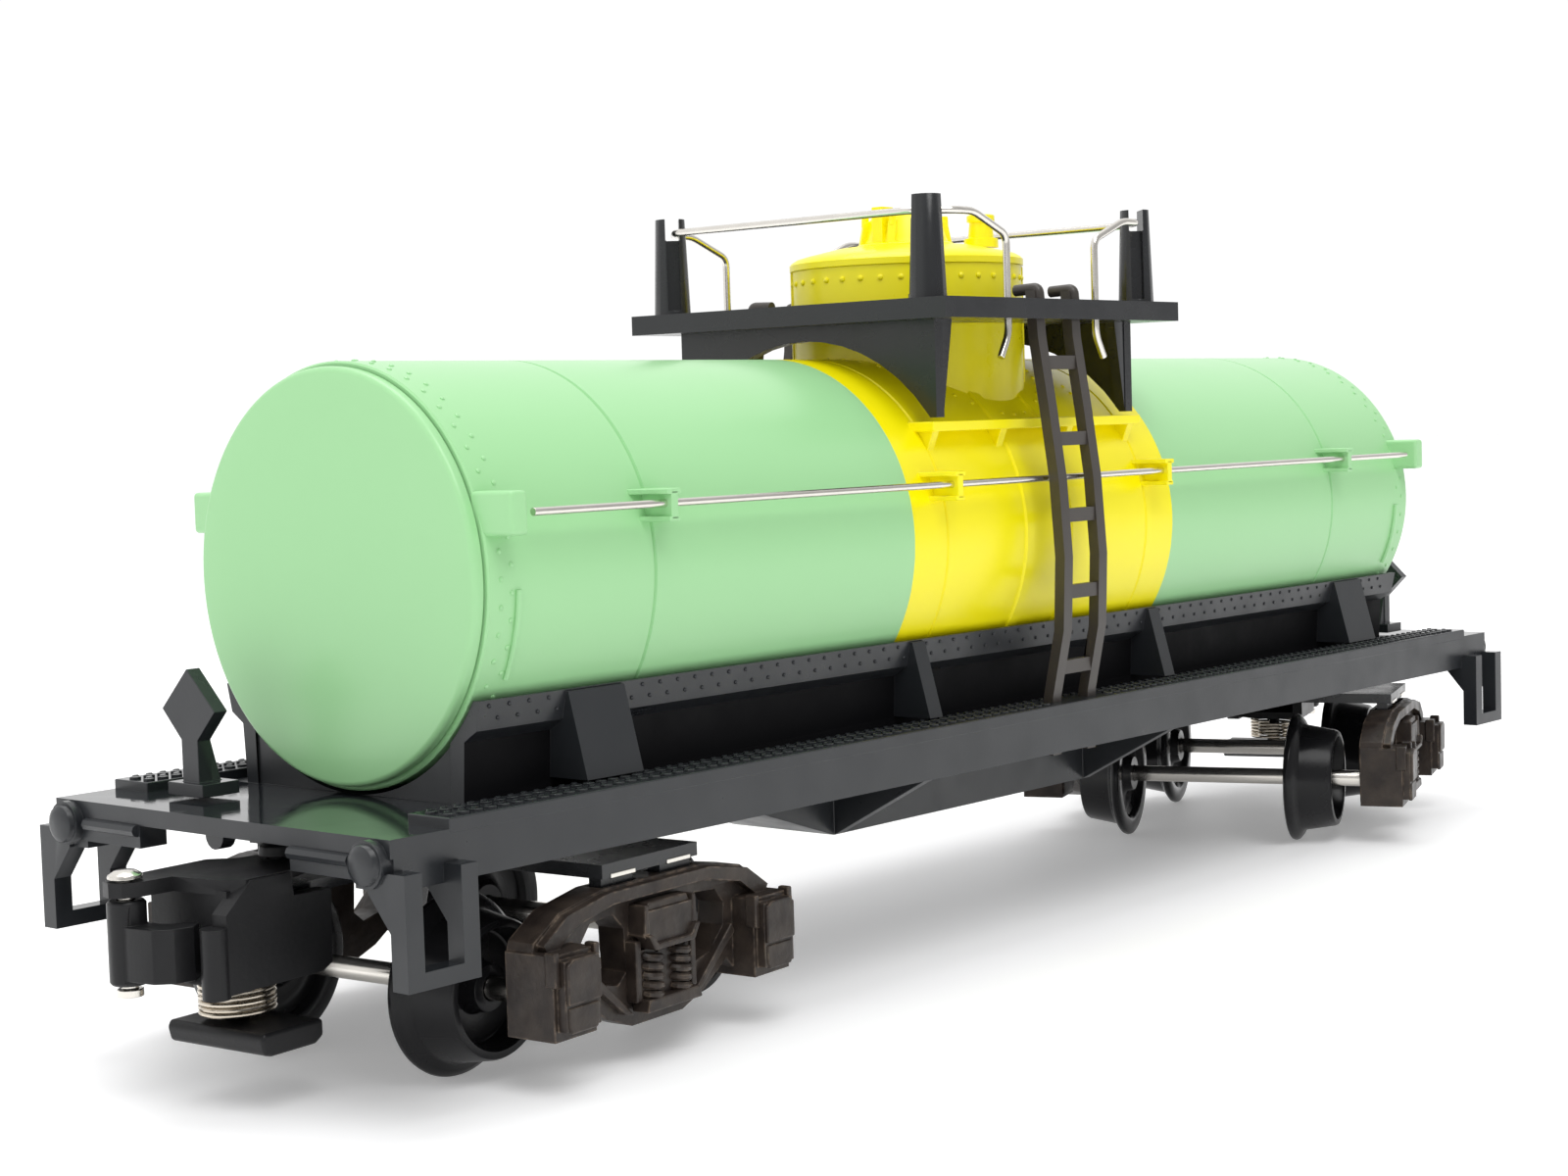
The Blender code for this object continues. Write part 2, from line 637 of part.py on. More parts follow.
def kingpin(name, side):
    """The shouldered pin that a truck swivels on, headed over under its plate."""
    under = PLATE_TOP - PLATE_THICK - GAP
    profile = [(under - 1.3, 0), (under - 1.3, 2.6), (under - 0.7, 2.9), (under, 2.9),
               (under, KINGPIN_R), (DECK_TOP - 0.1, KINGPIN_R), (DECK_TOP - 0.1, 0)]
    paint(turned(f"kingpin_{name}", profile, "Z", (side * TRUCK_X, 0, 0), 16), "dark_steel")


# ---------------------------------------------------------------- trucks

def side_frame(name, side, pivot):
    """A cast side frame: arched top, two windows, a spring nest and two journal boxes."""
    web = mirrored([(3.2, 3.0), (6.2, 4.1), (9.2, 6.0), (10.4, 4.8), (14.4, 4.8), (14.7, 10.6),
                    (14.4, 11.6), (11.4, 13.4), (6.4, 14.3)])
    inner, outer = span(FRAME_IN_Y, FRAME_OUT_Y, side)
    frame = prism(f"side_frame_{name}", web, "Y", inner, outer, pivot)
    window = [(3.7, 7.4), (4.8, 6.5), (7.0, 7.0), (8.8, 8.8), (9.0, 10.6), (7.9, 11.9), (5.2, 12.1),
              (3.9, 10.8)]
    for x_side in (-1, 1):
        opening = [(x * x_side, z) for x, z in window]
        cut_out(frame, prism(f"window_{name}_{x_side}", opening, "Y", inner - 5, outer + 5, pivot))
    arch_top = [(14.2, 11.4), (11.4, 13.2), (6.4, 14.1)]
    arch_low = [(13.4, 10.2), (10.4, 12.2), (5.9, 13.1)]
    rib = mirrored(arch_top)[::-1] + mirrored(arch_low)
    rib_y = span(FRAME_OUT_Y - 0.3, FRAME_OUT_Y + 0.8, side)
    tools = [prism(f"arch_rib_{name}", rib, "Y", *rib_y, pivot)]
    nest_y = span(FRAME_OUT_Y - 0.4, FRAME_OUT_Y + 0.9, side)
    tools.append(box(f"spring_nest_{name}", (-3.1, nest_y[0], 4.9), (3.1, nest_y[1], 9.0), pivot))
    bolster_y = span(FRAME_OUT_Y - 0.5, FRAME_OUT_Y + 1.6, side)
    bolster = mirrored([(2.2, 9.3), (3.4, 10.2), (2.9, 12.1)])
    tools.append(prism(f"bolster_end_{name}", bolster, "Y", *bolster_y, pivot))
    for x_side in (-1, 1):
        box_x = span(WHEELBASE_HALF - 2.3, WHEELBASE_HALF + 2.5, x_side)
        lid_x = span(WHEELBASE_HALF - 1.9, WHEELBASE_HALF + 2.1, x_side)
        box_y = span(FRAME_IN_Y + 0.1, BOX_OUT_Y, side)
        lid_y = span(BOX_OUT_Y - 0.2, LID_OUT_Y, side)
        tools.append(box(f"journal_box_{name}_{x_side}", (box_x[0], box_y[0], 4.4),
                         (box_x[1], box_y[1], 10.9), pivot))
        tools.append(box(f"journal_lid_{name}_{x_side}", (lid_x[0], lid_y[0], 5.2),
                         (lid_x[1], lid_y[1], 10.5), pivot))
    weld_on(frame, *tools)
    for x_side in (-1, 1):
        bore = cylinder(f"journal_{name}_{x_side}", "Y", (x_side * WHEELBASE_HALF, 0, FLANGE_R),
                        AXLE_R + BORE_GAP, *span(FRAME_IN_Y - 1, AXLE_HALF + GAP, side), 12, pivot)
        cut_out(frame, bore)
        slot = corners((TAB_X[0] - GAP, TAB_X[1] + GAP), (TAB_Y[0] - GAP, TAB_Y[1] + GAP),
                       (TAB_LOW - GAP, 16), x_side, side)
        cut_out(frame, box(f"tab_slot_{name}_{x_side}", *slot, pivot))
    paint(frame, "brown")


def truck_plate(name, pivot):
    """The stamped bolster: a cross plate with tabs into both side frames, and the coupler's arm."""
    low = PLATE_TOP - PLATE_THICK
    reach = FRAME_OUT_Y - 0.2
    plate = box(f"truck_plate_{name}", (-PLATE_HALF, -reach, low), (PLATE_HALF, reach, PLATE_TOP), pivot)
    arm = box(f"coupler_arm_{name}", (RIVET_U - 2.0, -3.0, low + 0.1),
              (-PLATE_HALF + 0.4, 3.0, PLATE_TOP - 0.1), pivot)
    weld_on(plate, arm)
    for x_side, y_side in all_corners():
        tab = corners(TAB_X, TAB_Y, (TAB_LOW, PLATE_TOP - 0.3), x_side, y_side)
        weld_on(plate, box(f"plate_tab_{name}_{x_side}_{y_side}", *tab, pivot))
    hole = cylinder(f"plate_hole_{name}", "Z", (0, 0, 0), KINGPIN_R + 0.15, 10, 20, 16, pivot)
    rivet = cylinder(f"rivet_hole_{name}", "Z", (RIVET_U, 0, 0), RIVET_R + 0.15, 10, 20, 12, pivot)
    cut_out(plate, hole, rivet)
    paint(plate, "black")


def wheel(name, side, spin):
    """A flanged wheel with a dished web, turned about its axle."""
    back, face, bore = WHEEL_BACK_Y, WHEEL_BACK_Y + WHEEL_WIDE, AXLE_R + BORE_GAP
    profile = [(back - 0.2, bore), (back - 0.2, 2.0), (back + 0.9, 2.2), (back + 0.9, 4.9),
               (back, 5.2), (back, FLANGE_R - 0.2), (back + 0.5, FLANGE_R), (back + 1.1, FLANGE_R - 0.5),
               (back + 1.5, TREAD_R), (face - 0.2, TREAD_R - 0.6), (face, TREAD_R - 0.8),
               (face, 4.7), (face - 2.6, 4.4), (face - 2.6, 2.0), (face - 0.9, 1.9), (face - 0.9, bore)]
    flipped = [(side * y, r) for y, r in profile]
    made = turned(f"wheel_{name}", flipped, "Y", (0, 0, 0), 24, spin, closed=True)
    paint(made, "black")


def wheelset(name, u, pivot):
    spin = empty(f"axle_axis_{name}", (u, 0, FLANGE_R), pivot)
    tip = AXLE_HALF
    profile = [(-tip, 0), (-tip, AXLE_R - 0.25), (-tip + 0.3, AXLE_R), (tip - 0.3, AXLE_R),
               (tip, AXLE_R - 0.25), (tip, 0)]
    paint(turned(f"axle_{name}", profile, "Y", (0, 0, 0), 14, spin), "steel")
    for side_name, side in each_side():
        wheel(f"{name}_{side_name}", side, spin)


def coupler_body(name, pivot):
    """The coupler's head: a top plate over two side walls, a spring seat and a guard arm."""
    plate = [(-19.2, -2.0), (-19.2, 2.0), (-22.6, 3.0), (-24.0, 4.7), (-31.4, 4.8), (-33.0, 4.9),
             (-34.3, 4.3), (-34.7, 3.2), (-34.3, 2.2), (-33.0, 1.6), (-30.4, 1.2), (-29.8, -3.6),
             (-28.8, -4.9), (-24.2, -4.9), (-22.6, -3.0)]
    top = prism(f"coupler_body_{name}", plate, "Z", COUPLER_PLATE_LOW, COUPLER_TOP, pivot)
    guard = prism(f"guard_{name}", [
        (-31.0, 9.4), (-31.0, 15.3), (-28.5, COUPLER_TOP - 0.1), (-24.6, COUPLER_TOP - 0.1),
        (-24.3, 15.7), (-20.5, 15.6), (-20.7, 10.0), (-21.6, 9.5)], "Y", -5.1, -3.6, pivot)
    cheek = prism(f"cheek_{name}", [
        (-29.6, 9.8), (-29.6, COUPLER_TOP - 0.3), (-24.3, COUPLER_TOP - 0.3), (-24.1, 15.6),
        (-20.6, 15.5), (-20.8, 9.8)], "Y", 3.4, 4.6, pivot)
    nose = cylinder(f"guard_nose_{name}", "Z", (-31.4, -4.2, 0), 1.05, 9.2, 14.4, 14, pivot)
    throat = box(f"throat_{name}", (-29.9, -4.0, 9.9), (-28.9, 4.0, 16.8), pivot)
    floor = box(f"floor_{name}", (-29.4, -4.4, SPRING_Z[1] + 0.5), (-21.2, 4.0, 10.5), pivot)
    seat = cylinder(f"spring_seat_{name}", "Z", (PLUNGER_U, 0, 0), 4.4, SPRING_Z[1] + GAP, 10.3, 20, pivot)
    weld_on(top, guard, cheek, throat, floor, seat, nose)
    for hole, place, radius, low, high in (
            ("plunger_bore", (PLUNGER_U, 0, 0), PLUNGER_R + 0.15, 5, 13),
            ("pin_bore", (*KNUCKLE_PIN, 0), KNUCKLE_PIN_R + BORE_GAP, 5, 20),
            ("rivet_bore", (RIVET_U, 0, 0), RIVET_R + 0.15, 14, 20)):
        cut_out(top, cylinder(f"{hole}_{name}", "Z", place, radius, low, high, 12, pivot))
    paint(top, "black")


def coupler_rivet(name, pivot):
    """Holds the coupler's head on the truck's arm, with a tall domed top."""
    under, over = PLATE_TOP - PLATE_THICK - 0.2, COUPLER_TOP + 0.2
    profile = [(under - 0.7, 0), (under - 0.7, 1.3), (under, 1.3), (under, RIVET_R), (over, RIVET_R),
               (over, 1.6), (over + 0.8, 1.5), (over + 1.2, 0.9), (over + 1.2, 0)]
    paint(turned(f"coupler_rivet_{name}", profile, "Z", (RIVET_U, 0, 0), 14, pivot), "black")


def knuckle(name, pivot):
    """The jaw: an eye on the pin and a hooked arm across the coupler's mouth."""
    hinge = empty(f"knuckle_axis_{name}", (*KNUCKLE_PIN, 0), pivot)
    low, high = KNUCKLE_Z
    eye_profile = [(low, 0), (low, KNUCKLE_R - 0.2), (low + 0.2, KNUCKLE_R), (high - 0.2, KNUCKLE_R),
                   (high, KNUCKLE_R - 0.2), (high, 0)]
    jaw = turned(f"knuckle_{name}", eye_profile, "Z", (0, 0, 0), 18, hinge)
    hook = [(0.4, 0.6), (-0.9, 0.2), (-1.2, -1.6), (-1.0, -3.8), (0.0, -5.0), (1.6, -5.4), (2.7, -4.7),
            (2.7, -3.6), (1.6, -3.2), (1.1, -2.2), (1.3, -0.6)]
    weld_on(jaw, prism(f"hook_{name}", hook, "Z", 10.4, 14.4, hinge))
    hole = cylinder(f"eye_hole_{name}", "Z", (0, 0, 0), KNUCKLE_PIN_R + BORE_GAP, 5, 20, 12, hinge)
    cut_out(jaw, hole)
    paint(jaw, "black")


def knuckle_pin(name, pivot):
    foot, top, shaft = KNUCKLE_Z[0] - 0.9, COUPLER_TOP + 0.15, KNUCKLE_PIN_R
    profile = [(foot, 0), (foot, 1.0), (foot + 0.6, 1.0), (foot + 0.6, shaft), (top, shaft), (top, 1.35),
               (top + 0.3, 1.3), (top + 0.6, 0.8), (top + 0.65, 0)]
    paint(turned(f"knuckle_pin_{name}", profile, "Z", (*KNUCKLE_PIN, 0), 14, pivot), "steel")


def plunger(name, pivot):
    """The uncoupling plunger: a crosswise shoe under the head, on a rod that slides up into it."""
    slide = empty(f"plunger_axis_{name}", (PLUNGER_U, 0, 0), pivot)
    low, high = SHOE_Z
    section = [(-2.9, high), (-3.2, high - 0.5), (-2.9, low + 0.2), (-2.2, low), (2.2, low), (3.0, low + 0.5),
               (3.0, high)]
    shoe = prism(f"plunger_{name}", section, "Y", -6.0, 4.4, slide)
    rod = cylinder(f"plunger_rod_{name}", "Z", (0, 0, 0), PLUNGER_R, high - 0.6, 12.2, 12, slide)
    weld_on(shoe, rod)
    paint(shoe, "black")


def coupler_spring(name, pivot):
    steps = 14
    total = SPRING_TURNS * steps
    low, high = SPRING_Z[0], SPRING_Z[1] - SPRING_WIRE
    points = []
    for k in range(total + 1):
        turn = 2 * math.pi * k / steps
        z = low + (high - low) * k / total
        points.append((PLUNGER_U + SPRING_R * math.cos(turn), SPRING_R * math.sin(turn), z))
    wire(f"coupler_spring_{name}", points, SPRING_WIRE, "dark_steel", 0, pivot)


def truck(name, end):
    yaw = TRUCK_YAW[name] + (180 if end > 0 else 0)
    pivot = empty(f"truck_axis_{name}", (end * TRUCK_X, 0, 0), yaw=yaw)
    truck_plate(name, pivot)
    for side_name, side in each_side():
        side_frame(f"{name}_{side_name}", side, pivot)
    for place, u in (("outer", -WHEELBASE_HALF), ("inner", WHEELBASE_HALF)):
        wheelset(f"{name}_{place}", u, pivot)
    coupler_body(name, pivot)
    coupler_rivet(name, pivot)
    knuckle(name, pivot)
    knuckle_pin(name, pivot)
    plunger(name, pivot)
    coupler_spring(name, pivot)


# ---------------------------------------------------------------- the wagon

def main():
    for old in list(bpy.data.objects):
        bpy.data.objects.remove(old)
    tank_shell()
    dome()
    manway_cover()
    safety_valve()
    platform()
    underframe()
    centre_sill()
    for name, side in each_side():
        tank_rail(name, side)
        ladder(name, side)
        running_board(name, side)
    for name, end in each_end():
        tank_end(name, end)
        handrail(name, end)
        placard_post(name, end)
        kingpin(name, end)
        truck(name, end)


main()
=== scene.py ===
"""Looks for the model tank wagon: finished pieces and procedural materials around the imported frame.

Shapes are written in millimetres and are scaled to metres when a piece is made.
A truck's pieces are written in the truck's own frame, whose X runs from the coupler towards the
wagon's middle, and are placed with the matrix that its joints give.
"""

import json
import math

import bmesh
import bpy
from mathutils import Matrix, Vector


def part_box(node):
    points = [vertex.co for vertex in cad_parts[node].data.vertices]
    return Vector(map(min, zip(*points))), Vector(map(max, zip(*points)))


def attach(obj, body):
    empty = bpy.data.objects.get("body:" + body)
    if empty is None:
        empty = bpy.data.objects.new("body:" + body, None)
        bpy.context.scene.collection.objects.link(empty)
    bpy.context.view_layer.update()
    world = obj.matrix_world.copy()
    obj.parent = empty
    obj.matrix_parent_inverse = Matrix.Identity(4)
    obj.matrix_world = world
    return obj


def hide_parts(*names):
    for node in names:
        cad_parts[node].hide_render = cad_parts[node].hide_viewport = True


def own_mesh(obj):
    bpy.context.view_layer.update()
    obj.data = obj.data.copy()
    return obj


MM = 0.001
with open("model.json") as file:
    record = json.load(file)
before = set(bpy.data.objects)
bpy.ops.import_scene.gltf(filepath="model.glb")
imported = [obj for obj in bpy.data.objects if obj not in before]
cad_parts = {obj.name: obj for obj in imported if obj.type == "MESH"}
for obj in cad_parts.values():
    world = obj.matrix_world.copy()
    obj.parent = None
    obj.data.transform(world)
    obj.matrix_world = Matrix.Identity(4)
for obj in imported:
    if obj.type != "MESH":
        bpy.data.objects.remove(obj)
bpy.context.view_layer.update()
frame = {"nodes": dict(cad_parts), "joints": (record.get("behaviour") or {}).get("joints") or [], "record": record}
JOINTS = {joint["name"]: joint for joint in frame["joints"]}
BODY_OF = {node: body for body, nodes in frame["record"]["behaviour"]["bodies"].items() for node in nodes}

ENDS = (("front", -1), ("rear", 1))
SIDES = (("right", -1), ("left", 1))


def extent(node):
    """A CAD node's low and high corners in millimetres."""
    low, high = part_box(node)
    return low / MM, high / MM


# Driving dimensions, read from the frame
SHELL_LOW, SHELL_HIGH = extent("tank_shell")
END_LOW, END_HIGH = extent("tank_end_front")
TANK_HALF = SHELL_HIGH.x
TANK_Z = (SHELL_LOW.z + SHELL_HIGH.z) / 2
TANK_R = (SHELL_HIGH.z - SHELL_LOW.z) / 2
END_R = (END_HIGH.z - END_LOW.z) / 2
END_FACE = -END_LOW.x
DOME_R = 11.5
LID_Z = 65.4                    # the dome's rim
LID_TOP = 66.6
SEAM_DEGREES = (-128, -48, 52, 132)   # where the drum's lap seams stand

# Tank decoration
BAND_HALF = 21.85               # half the width of the yellow band
SEAM_X = 55.9
INNER_SEAM_X = 16.8
STRAP_X = 3.8
RIVET_ROWS = (72.8, 71.7)
RIVET_PITCH = 7.2               # degrees
RIVET_SUNK = 0.12               # how far a rivet's foot goes into its surface

GREEN = (0.345, 0.665, 0.325)
YELLOW = (0.975, 0.865, 0.0)


# ---------------------------------------------------------------- materials

class Look:
    """A node material under construction."""

    def __init__(self, name):
        self.material = bpy.data.materials.new(name)
        self.material.use_nodes = True
        self.tree = self.material.node_tree
        self.shader = self.tree.nodes["Principled BSDF"]
        self.place = self.add("ShaderNodeTexCoord").outputs["Object"]

    def add(self, kind, **settings):
        made = self.tree.nodes.new(kind)
        for key, value in settings.items():
            setattr(made, key, value)
        return made

    def join(self, source, target):
        self.tree.links.new(source, target)

    def noise(self, scale, detail=3.0, stretch=(1, 1, 1)):
        mapping = self.add("ShaderNodeMapping")
        mapping.inputs["Scale"].default_value = stretch
        self.join(self.place, mapping.inputs["Vector"])
        made = self.add("ShaderNodeTexNoise")
        made.inputs["Scale"].default_value = scale
        made.inputs["Detail"].default_value = detail
        self.join(mapping.outputs["Vector"], made.inputs["Vector"])
        return made.outputs["Fac"]

    def ranged(self, value, low, high, out_low, out_high):
        made = self.add("ShaderNodeMapRange")
        for key, number in zip(("From Min", "From Max", "To Min", "To Max"), (low, high, out_low, out_high)):
            made.inputs[key].default_value = number
        self.join(value, made.inputs["Value"])
        return made.outputs["Result"]

    def math(self, operation, a, b=0.0):
        made = self.add("ShaderNodeMath", operation=operation)
        for socket, value in zip(made.inputs, (a, b)):
            if isinstance(value, (int, float)):
                socket.default_value = value
            else:
                self.join(value, socket)
        return made.outputs["Value"]

    def mix(self, factor, a, b):
        made = self.add("ShaderNodeMix", data_type="RGBA")
        self.join(factor, made.inputs["Factor"])
        for key, value in (("A", a), ("B", b)):
            socket = [s for s in made.inputs if s.name == key and s.type == "RGBA"][0]
            if isinstance(value, tuple):
                socket.default_value = (*value, 1.0)
            else:
                self.join(value, socket)
        return [s for s in made.outputs if s.type == "RGBA"][0]

    def axis(self, letter):
        made = self.add("ShaderNodeSeparateXYZ")
        self.join(self.place, made.inputs["Vector"])
        return made.outputs[letter]

    def color(self, value):
        self.join(value, self.shader.inputs["Base Color"])

    def roughness(self, value):
        self.join(value, self.shader.inputs["Roughness"])

    def bump(self, height, distance, strength=1.0):
        made = self.add("ShaderNodeBump")
        made.inputs["Distance"].default_value = distance
        made.inputs["Strength"].default_value = strength
        self.join(height, made.inputs["Height"])
        self.join(made.outputs["Normal"], self.shader.inputs["Normal"])
        return made


def scaled(color, factor):
    return tuple(min(1.0, c * factor) for c in color)


def moulded(name, color, rough=(0.26, 0.38), vary=0.05, grain=0.000008, shine=0.5):
    """Injection-moulded plastic: faint flow marks, a fine skin texture and, with rough, uneven gloss."""
    look = Look(name)
    flow = look.noise(90, 3, (0.35, 1, 1))
    look.color(look.mix(flow, scaled(color, 1 - vary), scaled(color, 1 + vary)))
    if rough:
        look.roughness(look.ranged(look.noise(240, 4), 0.3, 0.7, *rough))
    look.bump(look.noise(2600, 3), grain, 0.6)
    look.shader.inputs["Specular IOR Level"].default_value = shine
    return look


def tank_paint(name):
    """Two moulded colours: a yellow band round the middle and pastel green beyond it."""
    look = Look(name)
    flow = look.noise(60, 3, (0.3, 1, 1))
    greens = look.mix(flow, scaled(GREEN, 0.988), scaled(GREEN, 1.012))
    yellows = look.mix(flow, scaled(YELLOW, 0.985), scaled(YELLOW, 1.01))
    edge_wander = 0.00006
    wander = look.math("MULTIPLY", look.noise(700, 2), edge_wander)
    across = look.math("ADD", look.math("ABSOLUTE", look.axis("X")), wander)
    outside = look.math("GREATER_THAN", across, BAND_HALF * MM)
    look.color(look.mix(outside, yellows, greens))
    look.roughness(look.ranged(look.noise(110, 2), 0.3, 0.7, 0.275, 0.305))
    look.bump(look.noise(700, 2), 0.000002, 0.3)
    return look.material


def deck_black(name):
    """Black moulding that is polished on the open deck ends and satin elsewhere."""
    look = moulded(name, (0.018, 0.02, 0.023), rough=None, vary=0.12)
    normal = look.add("ShaderNodeTexCoord").outputs["Normal"]
    facing = look.add("ShaderNodeSeparateXYZ")
    look.join(normal, facing.inputs["Vector"])
    upward = look.math("GREATER_THAN", facing.outputs["Z"], 0.97)
    beyond = look.math("GREATER_THAN", look.math("ABSOLUTE", look.axis("X")), TANK_HALF * MM)
    polished = look.math("MULTIPLY", upward, beyond)
    satin = look.ranged(look.noise(240, 4), 0.3, 0.7, 0.27, 0.4)
    polish = -0.26
    look.roughness(look.math("ADD", satin, look.ranged(polished, 0.0, 1.0, 0.0, polish)))
    return look.material


def recess_shade_black(name):
    """A matt, darker black for the cradle's recessed wall: the darker colour is painted shade under the tank, and
    its shine is turned down.
    """
    return moulded(name, (0.005, 0.005, 0.006), (0.55, 0.7), vary=0.1, shine=0.12).material


def cast_brown(name):
    """A rough brown-black casting, dusty in patches and rubbed paler on its edges."""
    look = Look(name)
    brown, pale, dust = (0.019, 0.014, 0.012), (0.24, 0.18, 0.13), (0.045, 0.034, 0.027)
    base = look.mix(look.ranged(look.noise(420, 5), 0.35, 0.7, 0, 1), brown, dust)
    worn_width = 0.00028
    bevel = look.add("ShaderNodeBevel", samples=6)
    bevel.inputs["Radius"].default_value = worn_width
    geometry = look.add("ShaderNodeNewGeometry")
    dot = look.add("ShaderNodeVectorMath", operation="DOT_PRODUCT")
    look.join(bevel.outputs["Normal"], dot.inputs[0])
    look.join(geometry.outputs["True Normal"], dot.inputs[1])
    edge = look.ranged(dot.outputs["Value"], 0.99, 0.86, 0.0, 1.0)
    worn = look.math("MULTIPLY", edge, look.ranged(look.noise(900, 5), 0.46, 0.64, 0, 0.85))
    look.color(look.mix(worn, base, pale))
    look.roughness(look.ranged(look.noise(500, 4), 0.3, 0.7, 0.28, 0.5))
    look.bump(look.noise(1500, 6), 0.00007, 0.8)
    look.shader.inputs["Specular IOR Level"].default_value = 0.3
    return look.material


def bright_wire(name, color=(0.74, 0.71, 0.66), rough=(0.16, 0.26)):
    """Drawn steel, handled and slightly uneven in its polish."""
    look = Look(name)
    smear = look.noise(420, 3)
    look.color(look.mix(smear, scaled(color, 0.93), scaled(color, 1.05)))
    look.roughness(look.ranged(smear, 0.3, 0.7, *rough))
    look.bump(look.noise(1800, 2), 0.000002, 0.4)
    look.shader.inputs["Metallic"].default_value = 1.0
    return look.material


def wheel_black(name):
    """Black wheel moulding, polished by handling."""
    return moulded(name, (0.009, 0.009, 0.01), (0.16, 0.3), vary=0.2, grain=0.000003, shine=0.22).material


def make_looks():
    return {
        "tank": tank_paint("tank_two_colour"),
        "yellow": moulded("yellow_moulding", YELLOW, (0.26, 0.36), vary=0.03, grain=0.000002).material,
        "deck": deck_black("deck_moulding"),
        "black": moulded("black_moulding", (0.013, 0.014, 0.016), (0.2, 0.32), vary=0.12).material,
        # painted shade: a darker black for the cradle's recessed wall, where the tank above shadows it
        "recess": recess_shade_black("recess_painted_shade"),
        "ladder": moulded("ladder_moulding", (0.048, 0.041, 0.036), (0.3, 0.42), vary=0.15).material,
        "coupler": moulded("coupler_moulding", (0.01, 0.01, 0.011), (0.3, 0.44), vary=0.15,
                           grain=0.00002, shine=0.26).material,
        "wheel": wheel_black("wheel_moulding"),
        "cast": cast_brown("truck_casting"),
        "steel": bright_wire("bright_steel"),
        "spring": bright_wire("spring_steel", (0.62, 0.56, 0.47), (0.18, 0.3)),
        "dark_steel": bright_wire("dark_steel", (0.2, 0.18, 0.16), (0.3, 0.45)),
    }


LOOKS = make_looks()


# ---------------------------------------------------------------- shapes, in millimetres

def placed(shape, points, place):
    return [shape.verts.new(place @ Vector(p) if place else Vector(p)) for p in points]


def add_prism(shape, outline, axis, start, end, place=None):
    """Extrudes an outline along an axis. The outline's two numbers are the other two axes, in order."""
    def spot(point, along):
        full = list(point)
        full.insert("XYZ".index(axis), along)
        return full

    rings = [placed(shape, [spot(p, along) for p in outline], place) for along in (start, end)]
    count = len(outline)
    for k in range(count):
        nxt = (k + 1) % count
        shape.faces.new((rings[0][k], rings[0][nxt], rings[1][nxt], rings[1][k]))
    shape.faces.new(rings[0][::-1])
    shape.faces.new(rings[1])


def add_box(shape, low, high, place=None):
    outline = [(low[0], low[1]), (high[0], low[1]), (high[0], high[1]), (low[0], high[1])]
    add_prism(shape, outline, "Z", low[2], high[2], place)


def add_turned(shape, profile, axis="Z", centre=(0, 0, 0), steps=48, place=None, ring=False):
    """Spins a profile of (along, radius) points. An open profile starts and ends on the axis."""
    def spot(along, radius, turn):
        a, b = radius * math.cos(turn), radius * math.sin(turn)
        local = {"X": (along, a, b), "Y": (a, along, b), "Z": (a, b, along)}[axis]
        return Vector(local) + Vector(centre)

    rings = []
    for along, radius in profile:
        count = 1 if radius < 1e-6 else steps
        points = [spot(along, radius, 2 * math.pi * k / steps) for k in range(count)]
        rings.append(placed(shape, points, place))
    pairs = list(zip(rings, rings[1:]))
    if ring:
        pairs.append((rings[-1], rings[0]))
    for one, two in pairs:
        for k in range(steps):
            corners = [one[k % len(one)], one[(k + 1) % len(one)],
                       two[(k + 1) % len(two)], two[k % len(two)]]
            shape.faces.new(list(dict.fromkeys(corners)))


def add_tube(shape, points, radius, sides=12, place=None, capped=True):
    """A round tube along a smooth list of points."""
    points = [Vector(p) for p in points]
    rings = []
    side = None
    for k, point in enumerate(points):
        ahead = points[min(k + 1, len(points) - 1)] - points[max(k - 1, 0)]
        ahead.normalize()
        if side is None:
            side = ahead.orthogonal().normalized()
        side = (side - ahead * side.dot(ahead)).normalized()
        other = ahead.cross(side)
        turns = [2 * math.pi * j / sides for j in range(sides)]
        circle = [point + radius * (math.cos(t) * side + math.sin(t) * other) for t in turns]
        rings.append(placed(shape, circle, place))
    for one, two in zip(rings, rings[1:]):
        for j in range(sides):
            shape.faces.new((one[j], one[(j + 1) % sides], two[(j + 1) % sides], two[j]))
    if capped:
        shape.faces.new(rings[0][::-1])
        shape.faces.new(rings[-1])


def add_rivet(shape, spot, out, radius, height, sides=10):
    """A domed rivet head that stands on a surface whose outward direction is out."""
    out = Vector(out).normalized()
    side = out.orthogonal().normalized()
    other = out.cross(side)
    rings = []
    for level in (0.0, 0.35, 0.7):
        across = radius * math.cos(level * math.pi / 2)
        up = height * math.sin(level * math.pi / 2) - (RIVET_SUNK if level == 0 else 0)
        centre = Vector(spot) + out * up
        turns = [2 * math.pi * k / sides for k in range(sides)]
        circle = [centre + across * (math.cos(t) * side + math.sin(t) * other) for t in turns]
        rings.append(placed(shape, circle, None))
    top = shape.verts.new(Vector(spot) + out * height)
    for one, two in zip(rings, rings[1:]):
        for k in range(sides):
            shape.faces.new((one[k], one[(k + 1) % sides], two[(k + 1) % sides], two[k]))
    for k in range(sides):
        shape.faces.new((rings[-1][k], rings[-1][(k + 1) % sides], top))
    shape.faces.new(rings[0][::-1])


def span(a, b, side):
    """The stretch from a to b, or its mirror image where side is negative."""
    return (a, b) if side > 0 else (-b, -a)


